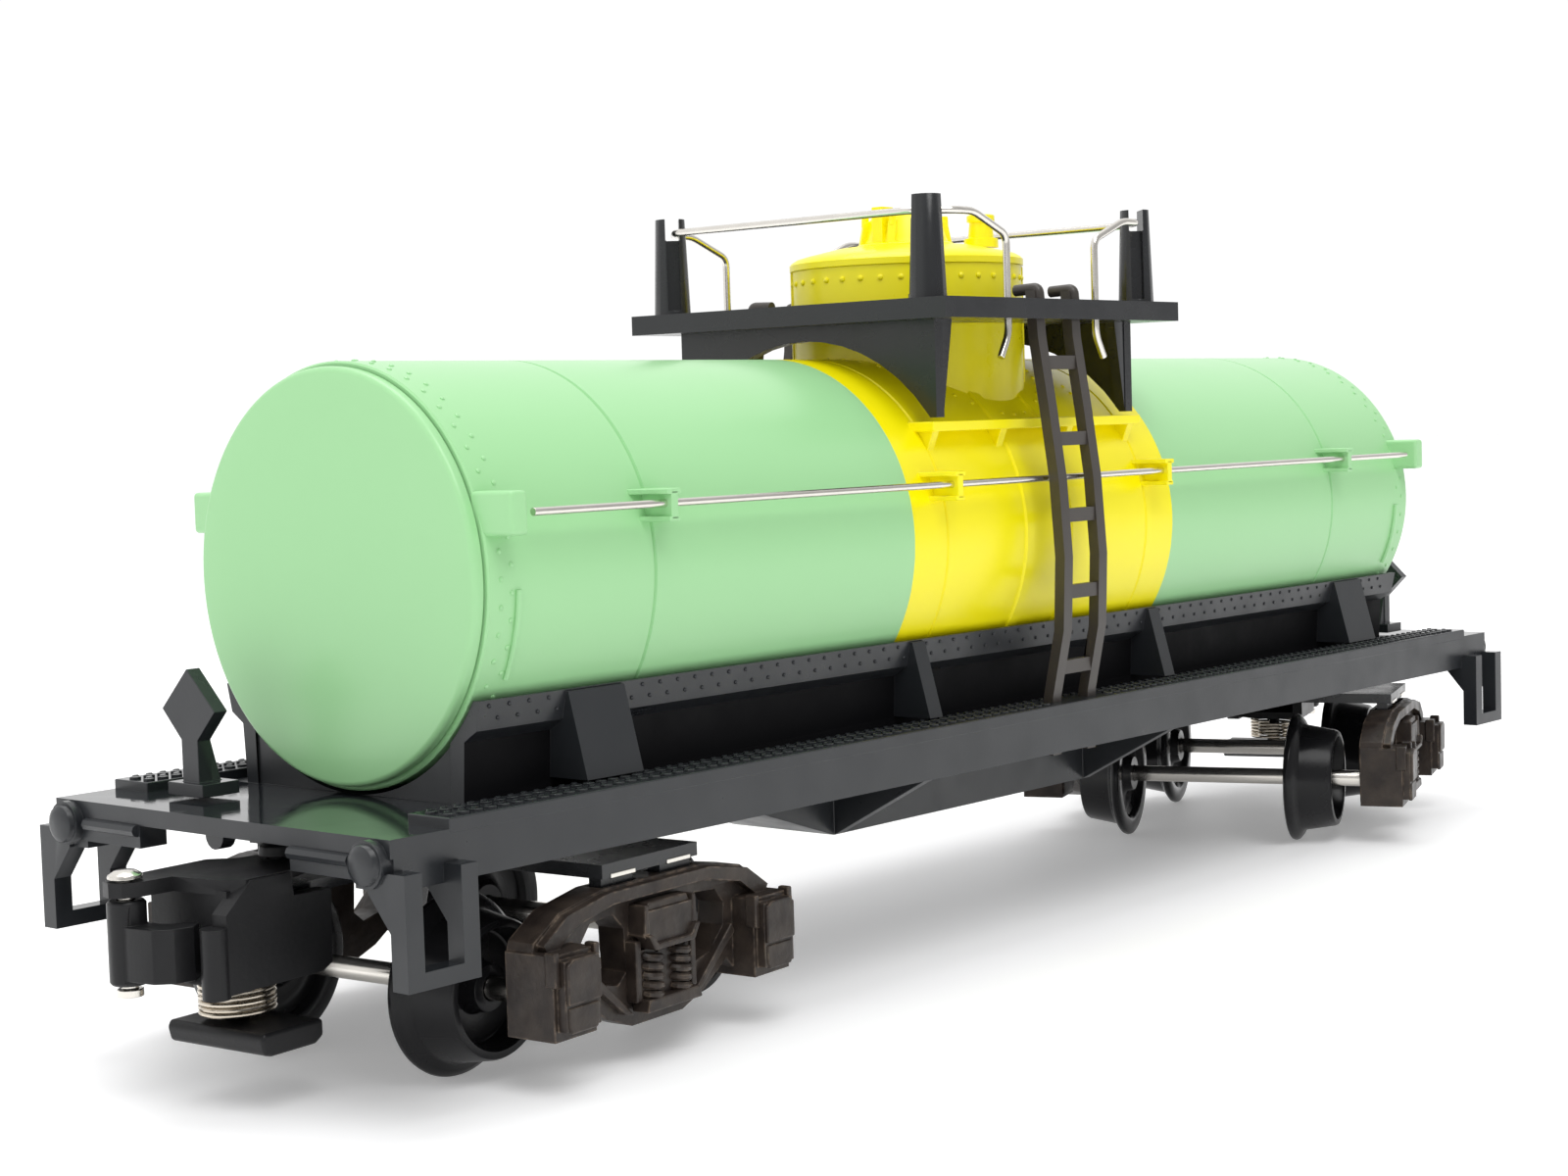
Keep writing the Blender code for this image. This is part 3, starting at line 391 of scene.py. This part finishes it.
def filleted(points, radius, steps=6):
    """The path with each corner rounded by a quadratic curve."""
    points = [Vector(p) for p in points]
    path = [points[0]]
    for before, corner, after in zip(points, points[1:], points[2:]):
        back, ahead = before - corner, after - corner
        reach = min(radius, back.length * 0.45, ahead.length * 0.45)
        start, end = corner + back.normalized() * reach, corner + ahead.normalized() * reach
        for k in range(steps + 1):
            t = k / steps
            path.append(start * (1 - t) ** 2 + corner * 2 * t * (1 - t) + end * t ** 2)
    path.append(points[-1])
    return path


# ---------------------------------------------------------------- pieces

def finish_piece(name, shape, look, like, replaced=(), smooth=32, edge=0.0, segments=2):
    """Turns a shape in millimetres into a piece that rides on, and is finished as, a CAD node."""
    bmesh.ops.scale(shape, vec=(MM, MM, MM), verts=shape.verts)
    bmesh.ops.recalc_face_normals(shape, faces=shape.faces)
    mesh = bpy.data.meshes.new(name)
    shape.to_mesh(mesh)
    shape.free()
    mesh.shade_smooth()
    mesh.set_sharp_from_angle(angle=math.radians(smooth))
    mesh.materials.append(LOOKS[look])
    made = bpy.data.objects.new(name, mesh)
    bpy.context.scene.collection.objects.link(made)
    if edge:
        round_edges(made, edge, segments)
    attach(made, BODY_OF[like])
    if replaced:
        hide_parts(*replaced)
    return made


def round_edges(obj, width, segments):
    bevel = obj.modifiers.new("rounded", "BEVEL")
    bevel.width = width * MM
    bevel.segments = segments
    bevel.limit_method = "ANGLE"
    bevel.angle_limit = math.radians(32)
    bevel.harden_normals = True
    bevel.use_clamp_overlap = True


def refined(node, look, edge=0.12, segments=2):
    """A finished copy of a CAD node: welded, its flat faces joined up and its edges rounded."""
    shape = bmesh.new()
    shape.from_mesh(frame["nodes"][node].data)
    bmesh.ops.scale(shape, vec=(1 / MM,) * 3, verts=shape.verts)
    bmesh.ops.remove_doubles(shape, verts=shape.verts, dist=0.002)
    bmesh.ops.dissolve_limit(shape, angle_limit=math.radians(0.6), verts=shape.verts, edges=shape.edges)
    return finish_piece(f"{node}_finished", shape, look, node, (node,), edge=edge, segments=segments)


# ---------------------------------------------------------------- tank

def around(x, degrees, radius):
    """A point on a cylinder about the tank's axis, and the way out of it. Zero is the left, 90 the top."""
    turn = math.radians(degrees)
    out = Vector((0, math.cos(turn), math.sin(turn)))
    return Vector((x, 0, TANK_Z)) + out * radius, out


def tank_skin():
    """The shell, with two grooves and a raised strap round it on each side of its middle."""
    groove, groove_foot, groove_half, inner = TANK_R - 0.22, 0.05, 0.2, TANK_R - 1.6
    strap, proud, chamfer = 0.75, 0.22, 0.15
    outer = [(-TANK_HALF, TANK_R - chamfer), (-TANK_HALF + chamfer, TANK_R)]
    for x in (-SEAM_X, -INNER_SEAM_X):
        outer += [(x - groove_half, TANK_R), (x - groove_foot, groove),
                  (x + groove_foot, groove), (x + groove_half, TANK_R)]
    outer += [(-STRAP_X - strap, TANK_R), (-STRAP_X - strap + chamfer, TANK_R + proud),
              (-STRAP_X + strap - chamfer, TANK_R + proud), (-STRAP_X + strap, TANK_R)]
    outer += [(-x, radius) for x, radius in reversed(outer)]
    shape = bmesh.new()
    add_turned(shape, outer + [(TANK_HALF, inner), (-TANK_HALF, inner)], "X", (0, 0, TANK_Z), 160, ring=True)
    finish_piece("tank_skin", shape, "tank", "tank_shell", ("tank_shell",))


def tank_brackets():
    """Tapered lugs that carry the side rails, and a blunt one at each end of the tank."""
    rail_low, rail_high = extent("tank_rail_left")
    rail_y, rail_z = (rail_low.y + rail_high.y) / 2, (rail_low.z + rail_high.z) / 2
    root, tip, taper = 15.5, rail_y + 0.75, 0.4
    flange_half, web_half = 0.22, 0.4
    stop_x, stop_root, stop_half = 72.9, 15.2, 1.7
    for side_name, side in SIDES:
        for k, x in enumerate((-SEAM_X, -17.8, 17.8, SEAM_X)):
            shape = bmesh.new()
            for z, wide in ((rail_z + 0.95, 2.0), (rail_z - 1.25, 1.5)):
                outline = [(x - wide, root * side), (x + wide, root * side),
                           (x + wide * taper, tip * side), (x - wide * taper, tip * side)]
                add_prism(shape, outline, "Z", z - flange_half, z + flange_half)
            web = [(x - web_half, root * side), (x + web_half, root * side),
                   (x + web_half, tip * side), (x - web_half, tip * side)]
            add_prism(shape, web, "Z", rail_z - 1.3, rail_z + 1.0)
            finish_piece(f"rail_bracket_{side_name}_{k}", shape, "tank", "tank_shell", edge=0.1)
        for end_name, end in ENDS:
            shape = bmesh.new()
            x = stop_x * end
            outline = [(x - 1.3, stop_root * side), (x + 1.1, stop_root * side),
                       (x + 0.95, tip * side), (x - 0.8, tip * side)]
            add_prism(shape, outline, "Z", rail_z - stop_half, rail_z + stop_half)
            finish_piece(f"rail_stop_{end_name}_{side_name}", shape, "tank", "tank_shell",
                         edge=0.35, segments=3)


def tank_ledges():
    """The shelf along each side of the dome that the platform's legs stand on, with its gussets."""
    half, bottom, top, gusset_half = 17.5, 48.3, 49.25, 0.5
    for side_name, side in SIDES:
        shape = bmesh.new()
        y = span(12.6, 16.15, side)
        add_box(shape, (-half, y[0], bottom), (half, y[1], top))
        for x in (-16.4, -5.6, 5.6, 16.4):
            gusset = [(12.8 * side, 48.7), (15.8 * side, 48.7), (14.7 * side, 46.0), (14.3 * side, 45.8)]
            add_prism(shape, gusset, "X", x - gusset_half, x + gusset_half)
        finish_piece(f"tank_ledge_{side_name}", shape, "tank", "tank_shell", edge=0.14)


def tank_rivets():
    """Two staggered rings at each end, open where the cradle covers them, and short rows by the dome."""
    shape = bmesh.new()
    count = round(360 / RIVET_PITCH)
    covered_from, covered_to = 221, 319
    seat, radius, height = TANK_R - 0.02, 0.24, 0.16
    for end in (-1, 1):
        for row, x in enumerate(RIVET_ROWS):
            for k in range(count):
                angle = RIVET_PITCH * (k + 0.5 * row)
                if covered_from < angle < covered_to:
                    continue
                spot, out = around(x * end, angle, seat)
                add_rivet(shape, spot, out, radius, height)
    for x in (-9.5, -12.8, 9.5, 12.8):
        for angle in (50.5, 54.5, 125.5, 129.5):
            spot, out = around(x, angle, seat)
            add_rivet(shape, spot, out, radius, height)
    finish_piece("tank_rivets", shape, "tank", "tank_shell")


def tank_grab_strips():
    """A short curved grab iron moulded against the shell near each corner."""
    strip_x, start, sweep, steps = 71.1, -3.0, 24.0, 14
    for end_name, end in ENDS:
        for side_name, side in SIDES:
            shape = bmesh.new()
            points = []
            for k in range(steps + 1):
                spot, _ = around(strip_x * end, start - sweep * k / steps, TANK_R + 0.1)
                points.append((spot.x, spot.y * side, spot.z))
            add_tube(shape, points, 0.26, 10)
            finish_piece(f"grab_strip_{end_name}_{side_name}", shape, "tank", "tank_shell")


def tank_ends():
    """A head on each end of the tank: a rounded rim outside, and a spigot that goes into the shell."""
    spigot, back, inner = TANK_HALF - 2.0, TANK_HALF + 0.15, END_R - 1.5
    rim, steps = 0.45, 5
    turns = [math.pi / 2 * k / steps for k in range(steps + 1)]
    profile = [(spigot, 0), (spigot, inner), (back, inner), (back, END_R)]
    profile += [(END_FACE - rim + rim * math.sin(t), END_R - rim + rim * math.cos(t)) for t in turns]
    profile += [(END_FACE + 0.02, END_R - 3), (END_FACE, 0)]
    for name, end in ENDS:
        shape = bmesh.new()
        add_turned(shape, [(end * x, radius) for x, radius in profile], "X", (0, 0, TANK_Z), 160)
        finish_piece(f"tank_head_{name}", shape, "tank", f"tank_end_{name}", (f"tank_end_{name}",))


def tank_rails():
    steps = 24
    for name, _ in SIDES:
        low, high = extent(f"tank_rail_{name}")
        y, z, radius = (low.y + high.y) / 2, (low.z + high.z) / 2, (high.y - low.y) / 2
        points = [(low.x + (high.x - low.x) * k / steps, y, z) for k in range(steps + 1)]
        shape = bmesh.new()
        add_tube(shape, points, radius, 20)
        finish_piece(f"side_rail_{name}", shape, "steel", f"tank_rail_{name}", (f"tank_rail_{name}",),
                     edge=0.06)


# ---------------------------------------------------------------- dome

def dome_pieces():
    """The drum with its lap seams, rivets and rim, under a shallow cone."""
    foot, bead = TANK_Z + 9, DOME_R + 0.22
    shape = bmesh.new()
    add_turned(shape, [(foot, 0), (foot, DOME_R), (LID_Z - 1.0, DOME_R), (LID_Z - 0.9, bead),
                       (LID_Z - 0.3, bead), (LID_Z - 0.05, DOME_R), (LID_Z + 0.25, DOME_R - 0.5),
                       (LID_Z + 0.55, DOME_R - 1.6), (LID_TOP, DOME_R - 4.6), (LID_TOP, 0)], steps=128)
    finish_piece("dome_drum", shape, "yellow", "dome", ("dome",))
    seams = bmesh.new()
    for degrees in SEAM_DEGREES:
        turn = Matrix.Rotation(math.radians(degrees), 4, "Z")
        add_box(seams, (DOME_R - 0.5, -0.75, TANK_Z + 12), (DOME_R + 0.16, 0.75, LID_Z - 1.0), turn)
    finish_piece("dome_seams", seams, "yellow", "dome", edge=0.08)
    rivets = bmesh.new()
    rim_count, foot_count, foot_r = 36, 44, DOME_R + 1.3
    for k in range(rim_count):
        turn = 2 * math.pi * (k + 0.5) / rim_count
        out = Vector((math.cos(turn), math.sin(turn), 0))
        add_rivet(rivets, out * (DOME_R - 0.04) + Vector((0, 0, LID_Z - 2.2)), out, 0.32, 0.26, 12)
    for k in range(foot_count):
        turn = 2 * math.pi * k / foot_count
        x, y = foot_r * math.cos(turn), foot_r * math.sin(turn)
        spot, out = around(x, math.degrees(math.acos(y / TANK_R)), TANK_R - 0.02)
        add_rivet(rivets, spot, out, 0.24, 0.17)
    finish_piece("dome_rivets", rivets, "yellow", "dome")


def manway_pieces():
    """The manway's ribbed cap with its hinge, and the safety valve beside it."""
    high = extent("manway_cover")[1]
    base = LID_TOP - 0.1
    shape = bmesh.new()
    add_turned(shape, [(base, 0), (base, 4.95), (base + 0.35, 4.95), (base + 0.5, 4.75), (base + 0.55, 4.35),
                       (base + 1.0, 4.15), (base + 2.9, 3.55), (base + 3.25, 3.3), (base + 3.4, 2.8),
                       (base + 3.4, 1.3), (base + 3.65, 1.2), (base + 3.7, 0)], steps=64)
    ribs, first_rib = 6, 20
    for k in range(ribs):
        place = Matrix.Rotation(math.radians(360 / ribs * k + first_rib), 4, "Z")
        add_prism(shape, [(3.35, base + 0.3), (4.75, base + 0.3), (4.3, base + 2.6), (3.2, base + 3.0)],
                  "Y", -0.42, 0.42, place)
        add_turned(shape, [(base + 2.2, 0), (base + 2.2, 0.42), (base + 3.2, 0.38), (base + 3.25, 0)],
                   centre=(4.05, 0, 0), steps=10, place=place)
    hinge_low, hinge_high = -4.55, -2.7
    add_box(shape, (hinge_low, -0.65, base + 0.4), (hinge_high, 0.65, high.z - 0.05))
    finish_piece("manway_cap", shape, "yellow", "manway_cover", ("manway_cover",), edge=0.07)
    valve = bmesh.new()
    low, high = extent("safety_valve")
    centre = ((low.x + high.x) / 2, (low.y + high.y) / 2, 0)
    add_turned(valve, [(base, 0), (base, 1.75), (base + 0.9, 1.7), (base + 1.0, 1.3), (base + 2.5, 1.15),
                       (base + 2.6, 1.4), (high.z, 1.4), (high.z + 0.1, 1.2), (high.z + 0.1, 0)],
               centre=centre, steps=40)
    finish_piece("valve_cap", valve, "yellow", "safety_valve", ("safety_valve",))


# ---------------------------------------------------------------- platform and ladders

def handrails():
    """A bent wire at each end of the platform, its feet bent below it."""
    rail_z, corner, bend, radius = 68.5, 3.0, 0.9, 0.36
    low, high = extent("handrail_rear")
    out_y, out_x, gate = high.y - 0.4, high.x - 0.4, low.x + 0.4
    for name, side in ENDS:
        half = [(gate + 1.3, out_y, low.z - 1.6), (gate, out_y, low.z + 0.6), (gate, out_y, 66.5),
                (gate + 5.2, out_y, rail_z),
                (out_x - corner, out_y, rail_z), (out_x, out_y - corner, rail_z)]
        points = [(x * side, y, z) for x, y, z in half]
        points += [(x, -y, z) for x, y, z in reversed(points)]
        shape = bmesh.new()
        add_tube(shape, filleted(points, bend), radius, 16)
        finish_piece(f"handrail_wire_{name}", shape, "steel", f"handrail_{name}", (f"handrail_{name}",),
                     edge=0.08)


def ladder_tops():
    """The round bar at the top of each ladder rail, bent back over the platform's edge."""
    rail_x, bend, radius = 2.95, 0.9, 0.55
    for name, side in SIDES:
        shape = bmesh.new()
        for x in (-rail_x, rail_x):
            path = [(x, 18.1 * side, 60.5), (x, 18.0 * side, 61.55), (x, 15.4 * side, 61.45)]
            add_tube(shape, filleted(path, bend), radius, 14)
        finish_piece(f"ladder_hooks_{name}", shape, "ladder", f"ladder_{name}", edge=0.15)


# ---------------------------------------------------------------- deck

def cradle_rivets():
    """Two staggered rows of rivets along the strip that follows the tank."""
    shape = bmesh.new()
    top_y, top_z, lean = 15.45, 29.35, 0.234
    spacing, half = 2.1, 73.0
    count = int(2 * half / spacing)
    braces = ((58.2, 65.3), (18.6, 21.3))
    for side in (-1, 1):
        for row, drop in enumerate((0.45, 1.45)):
            for k in range(count):
                x = -half + spacing * (k + 0.5 * row)
                if any(a < abs(x) < b for a, b in braces):
                    continue
                y, z = top_y - drop * lean, top_z - drop
                add_rivet(shape, (x, y * side, z), (0, side * 0.97, -0.23), 0.2, 0.15, 8)
    finish_piece("cradle_rivets", shape, "deck", "underframe")


def board_treads():
    """The raised lozenge tread along the running boards."""
    pitch, rows, turned = 1.35, 4, 0.5
    for name, _ in SIDES:
        low, high = extent(f"running_board_{name}")
        shape = bmesh.new()
        count = int((high.x - low.x - 1) / pitch)
        across = (high.y - low.y - 0.7) / rows
        for row in range(rows):
            for k in range(count):
                x = low.x + 0.8 + pitch * (k + 0.5 * (row % 2))
                y = low.y + 0.35 + across * (row + 0.5)
                if x > high.x - 0.6 or (abs(x) < 4.6 and abs(y) > 17.2):
                    continue
                tilt = Matrix.Rotation(turned if row % 2 else -turned, 4, "Z")
                place = Matrix.Translation((x, y, high.z)) @ tilt
                outline = [(-0.52, 0), (-0.2, -0.24), (0.2, -0.24), (0.52, 0), (0.2, 0.24), (-0.2, 0.24)]
                add_prism(shape, outline, "Z", -0.1, 0.2, place)
        finish_piece(f"board_tread_{name}", shape, "deck", f"running_board_{name}", edge=0.07, segments=1)


def deck_pieces():
    wall_y, wall_low, wall_high = 16.2, 21.4, 27.4
    deck = refined("underframe", "deck", 0.13)
    # the cradle's recessed wall gets the darker black, which is painted shade
    deck.data.materials.append(LOOKS["recess"])
    for face in deck.data.polygons:
        centre, normal = face.center / MM, face.normal
        steep = abs(normal.z) < 0.5 and abs(normal.y) > 0.8
        if steep and abs(centre.y) < wall_y and wall_low < centre.z < wall_high and abs(centre.x) < TANK_HALF:
            face.material_index = 1
    refined("centre_sill", "deck", 0.13)
    for name, side in SIDES:
        low, high = extent(f"running_board_{name}")
        shape = bmesh.new()
        y = span(15.9, 20.43, side)
        add_box(shape, (low.x, y[0], low.z - 0.45), (high.x, y[1], high.z))
        node = f"running_board_{name}"
        finish_piece(f"{node}_flush", shape, "deck", node, (node,), edge=0.12)
    cradle_rivets()
    board_treads()
    for name, _ in ENDS:
        refined(f"placard_post_{name}", "deck", 0.1)
        kingpin = frame["nodes"][f"kingpin_{name}"].data
        kingpin.materials.clear()
        kingpin.materials.append(LOOKS["dark_steel"])


# ---------------------------------------------------------------- trucks

def truck_place(name):
    """The matrix from a truck's own frame to the wagon's, in millimetres."""
    pivot = JOINTS[f"{name}_truck_swivel"]["pos_m"]
    axle = JOINTS[f"{name}_outer_wheel_spin"]["axis"]
    yaw = math.atan2(-axle[0], axle[1])
    return Matrix.Translation((pivot[0] / MM, pivot[1] / MM, 0)) @ Matrix.Rotation(yaw, 4, "Z")


def wheel_pieces(name, place):
    """A truck's two wheelsets, turned to stand with the truck."""
    flange_r = 7.2
    for which in ("outer", "inner"):
        spot = JOINTS[f"{name}_{which}_wheel_spin"]["pos_m"]
        centre = Matrix.Translation((spot[0] / MM, spot[1] / MM, flange_r))
        turned = centre @ place.to_3x3().to_4x4()
        for side_name, side in SIDES:
            back, face, bore = 9.4, 14.5, 1.0
            profile = [(back - 0.2, bore), (back - 0.2, 1.9), (back, 2.05), (back + 0.55, 2.2),
                       (back + 0.9, 2.7), (back + 0.95, 4.5), (back + 0.7, 5.0), (back + 0.1, 5.25),
                       (back, 5.4),
                       (back, flange_r - 0.3), (back + 0.15, flange_r - 0.08), (back + 0.45, flange_r),
                       (back + 0.75, flange_r - 0.1), (back + 1.1, flange_r - 0.55), (back + 1.35, 6.15),
                       (back + 1.6, 6.0), (face - 0.3, 5.45), (face - 0.05, 5.3), (face, 5.15),
                       (face, 4.75), (face - 0.2, 4.65), (face - 2.4, 4.45), (face - 2.6, 4.2),
                       (face - 2.6, 2.2), (face - 2.4, 2.0), (face - 1.0, 1.85), (face - 0.9, 1.7),
                       (face - 0.9, bore)]
            shape = bmesh.new()
            add_turned(shape, [(y * side, r) for y, r in profile], "Y", steps=96, place=turned, ring=True)
            node = f"wheel_{name}_{which}_{side_name}"
            finish_piece(f"{node}_turned", shape, "wheel", node, (node,), smooth=40)
        tip, radius = 18.8, 0.9
        shape = bmesh.new()
        profile = [(-tip, 0), (-tip, radius - 0.3), (-tip + 0.25, radius - 0.08), (-tip + 0.5, radius),
                   (tip - 0.5, radius), (tip - 0.25, radius - 0.08), (tip, radius - 0.3), (tip, 0)]
        add_turned(shape, profile, "Y", steps=32, place=turned)
        node = f"axle_{name}_{which}"
        finish_piece(f"{node}_turned", shape, "steel", node, (node,))


def frame_details(name, side_name, side, place):
    """A side frame with its springs and their shelf, bolster cup, posts, braces, box lids and ears."""
    node = f"side_frame_{name}_{side_name}"
    refined(node, "cast", 0.3, 3)
    springs = bmesh.new()
    turns, steps, wire = 5, 12, 0.34
    wide, deep, spring_y, foot, rise = 0.85, 0.55, 20.75, 5.15, 3.7
    for u in (-1.75, 1.75):
        points = []
        for k in range(turns * steps + 1):
            turn = 2 * math.pi * k / steps
            points.append((u + wide * math.cos(turn), side * (spring_y + deep * math.sin(turn)),
                           foot + rise * k / (turns * steps)))
        add_tube(springs, points, wire, 8, place)
    finish_piece(f"truck_springs_{name}_{side_name}", springs, "cast", node)

    cast = bmesh.new()
    shelf = span(20.0, 21.7, side)
    add_prism(cast, [(-3.5, 4.2), (3.5, 4.2), (3.2, 5.2), (-3.2, 5.2)], "Y", *shelf, place)
    cup = span(20.2, 21.9, side)
    add_prism(cast, [(-3.3, 10.3), (-2.5, 9.0), (2.5, 9.0), (3.3, 10.3), (2.7, 10.3), (2.1, 9.5), (-2.1, 9.5),
                     (-2.7, 10.3)], "Y", *cup, place)
    for u in (-3.0, 3.0):
        add_prism(cast, [(u - 0.35, 10.2), (u + 0.35, 10.2), (u + 0.2, 12.6), (u - 0.2, 12.6)],
                  "Y", *span(19.6, 21.5, side), place)
    add_prism(cast, [(-2.8, 12.0), (2.8, 12.0), (2.4, 12.7), (-2.4, 12.7)],
              "Y", *span(19.6, 21.2, side), place)
    for u_side in (-1, 1):
        post = span(3.1, 3.8, u_side)
        add_prism(cast, [(post[0], 5.0), (post[1], 5.0), (post[1], 9.8), (post[0], 9.8)],
                  "Y", *span(19.7, 20.9, side), place)
        diagonal = [(3.6 * u_side, 4.0), (4.6 * u_side, 4.2), (9.6 * u_side, 8.2), (9.2 * u_side, 9.0)]
        add_prism(cast, diagonal, "Y", *span(19.6, 20.5, side), place)
        mid = 12.5 * u_side             # over the axle
        lid = span(22.5, 23.1, side)
        bulge = [(mid - 1.9, 7.2), (mid + 1.9, 7.2), (mid + 1.9, 10.2), (mid + 1.2, 10.6), (mid - 1.2, 10.6),
                 (mid - 1.9, 10.2)]
        add_prism(cast, bulge, "Y", *lid, place)
        pad = [(mid - 1.5, 5.0), (mid + 1.5, 5.0), (mid + 1.75, 5.6), (mid + 1.75, 7.0), (mid - 1.75, 7.0),
               (mid - 1.75, 5.6)]
        add_prism(cast, pad, "Y", *span(22.5, 22.95, side), place)
        ear = span(21.3, 22.4, side)
        add_prism(cast, [(mid - 2.6, 8.6), (mid - 2.0, 8.4), (mid - 2.0, 11.2), (mid - 2.6, 11.2)],
                  "Y", *ear, place)
        add_prism(cast, [(mid + 2.0, 8.4), (mid + 2.6, 8.6), (mid + 2.6, 11.2), (mid + 2.0, 11.2)],
                  "Y", *ear, place)
    finish_piece(f"frame_castings_{name}_{side_name}", cast, "cast", node, edge=0.16, segments=2)


def truck_tabs(name, place):
    """Bright sheared ends of the bolster's tabs where they come up through the side frames."""
    shape = bmesh.new()
    for u_side in (-1, 1):
        for side in (-1, 1):
            u, v = span(2.0, 5.0, u_side), span(19.35, 19.7, side)
            add_box(shape, (u[0], v[0], 14.9), (u[1], v[1], 15.3), place)
    finish_piece(f"bolster_tabs_{name}", shape, "steel", f"truck_plate_{name}", edge=0.08)


def coupler_pieces(name, place):
    """The coupler's castings, and the coil that its plunger squashes as it lifts."""
    refined(f"coupler_body_{name}", "coupler", 0.3, 3)
    refined(f"knuckle_{name}", "coupler", 0.3, 3)
    refined(f"plunger_{name}", "coupler", 0.35, 3)
    refined(f"coupler_rivet_{name}", "coupler", 0.12)
    refined(f"knuckle_pin_{name}", "steel", 0.1)
    seat, top, radius, gauge, turns = 6.5, 9.3, 2.75, 0.19, 6
    pin_x, steps = -25.7, 40
    points = []
    for k in range(turns * steps + 1):
        turn = 2 * math.pi * k / steps
        points.append((pin_x + radius * math.cos(turn), radius * math.sin(turn),
                       seat + gauge + (top - seat - 2 * gauge) * k / (turns * steps)))
    shape = bmesh.new()
    add_tube(shape, points, gauge, 10, place)
    node = f"coupler_spring_{name}"
    spring = finish_piece(f"{node}_coil", shape, "spring", node, (node,))
    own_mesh(spring)


def truck_pieces(name):
    place = truck_place(name)
    wheel_pieces(name, place)
    for side_name, side in SIDES:
        frame_details(name, side_name, side, place)
    refined(f"truck_plate_{name}", "black", 0.1)
    truck_tabs(name, place)
    coupler_pieces(name, place)


# ---------------------------------------------------------------- studio

def area_light(name, place, target, size, power):
    data = bpy.data.lights.new(name, "AREA")
    data.shape = "DISK"
    data.size = size
    data.energy = power
    lamp = bpy.data.objects.new(name, data)
    lamp.location = place
    lamp.rotation_euler = (Vector(target) - Vector(place)).to_track_quat("-Z", "Y").to_euler()
    bpy.context.scene.collection.objects.link(lamp)


def floor_card():
    half, glow = 3.0, 0.24
    floor_mesh = bpy.data.meshes.new("floor")
    shape = bmesh.new()
    bmesh.ops.create_grid(shape, x_segments=1, y_segments=1, size=half)
    shape.to_mesh(floor_mesh)
    shape.free()
    floor = bpy.data.objects.new("floor", floor_mesh)
    bpy.context.scene.collection.objects.link(floor)
    look = Look("floor_card")
    look.color(look.mix(look.noise(3, 2), (0.86, 0.86, 0.865), (0.88, 0.88, 0.885)))
    look.roughness(look.ranged(look.noise(5, 2), 0.3, 0.7, 0.5, 0.6))
    look.shader.inputs["Emission Color"].default_value = (1.0, 1.0, 1.0, 1.0)
    look.shader.inputs["Emission Strength"].default_value = glow
    floor_mesh.materials.append(look.material)


def room_light():
    """A white room that is brighter on the wagon's left side than on its right."""
    world = bpy.data.worlds.new("studio")
    world.use_nodes = True
    tree = world.node_tree
    background = tree.nodes["Background"]
    background.inputs["Color"].default_value = (1.0, 1.0, 1.0, 1.0)
    direction = tree.nodes.new("ShaderNodeTexCoord")
    parts = tree.nodes.new("ShaderNodeSeparateXYZ")
    fade = tree.nodes.new("ShaderNodeMapRange")
    for key, number in (("From Min", -0.5), ("From Max", 0.1), ("To Min", 0.5), ("To Max", 1.03)):
        fade.inputs[key].default_value = number
    tree.links.new(direction.outputs["Generated"], parts.inputs["Vector"])
    tree.links.new(parts.outputs["Y"], fade.inputs["Value"])
    tree.links.new(fade.outputs["Result"], background.inputs["Strength"])
    bpy.context.scene.world = world
    bpy.context.scene.view_settings.view_transform = "Standard"


def studio():
    floor_card()
    room_light()
    area_light("key", (-0.25, -0.45, 0.75), (0, 0, 0.03), 0.55, 3.2)
    area_light("top", (0.05, 0.15, 0.8), (0, 0, 0.03), 0.6, 2.2)


def camera():
    """Low, close to the front right corner, looking along the right side."""
    yaw, pitch, roll = math.radians(49.42), math.radians(3.82), math.radians(-1.74)
    ahead = Vector((math.sin(yaw) * math.cos(pitch), math.cos(yaw) * math.cos(pitch), -math.sin(pitch)))
    right = Vector((math.cos(yaw), -math.sin(yaw), 0))
    up = right.cross(ahead)
    turned_right = math.cos(roll) * right + math.sin(roll) * up
    turned_up = -math.sin(roll) * right + math.cos(roll) * up
    eye = (-0.2032, -0.1566, 0.0499)
    data = bpy.data.cameras.new("camera")
    data.sensor_width = 36
    data.lens = 58.16
    data.clip_start = 0.005
    made = bpy.data.objects.new("camera", data)
    axes = Matrix((turned_right, turned_up, -ahead)).transposed()
    made.matrix_world = Matrix.Translation(eye) @ axes.to_4x4()
    bpy.context.scene.collection.objects.link(made)
    bpy.context.scene.camera = made


# ---------------------------------------------------------------- the scene

def main():
    camera()
    studio()
    tank_skin()
    tank_brackets()
    tank_ledges()
    tank_rivets()
    tank_grab_strips()
    tank_ends()
    tank_rails()
    dome_pieces()
    manway_pieces()
    refined("platform", "black", 0.14)
    handrails()
    for name, _ in SIDES:
        refined(f"ladder_{name}", "ladder", 0.12)
    ladder_tops()
    deck_pieces()
    for name, _ in ENDS:
        truck_pieces(name)


main()
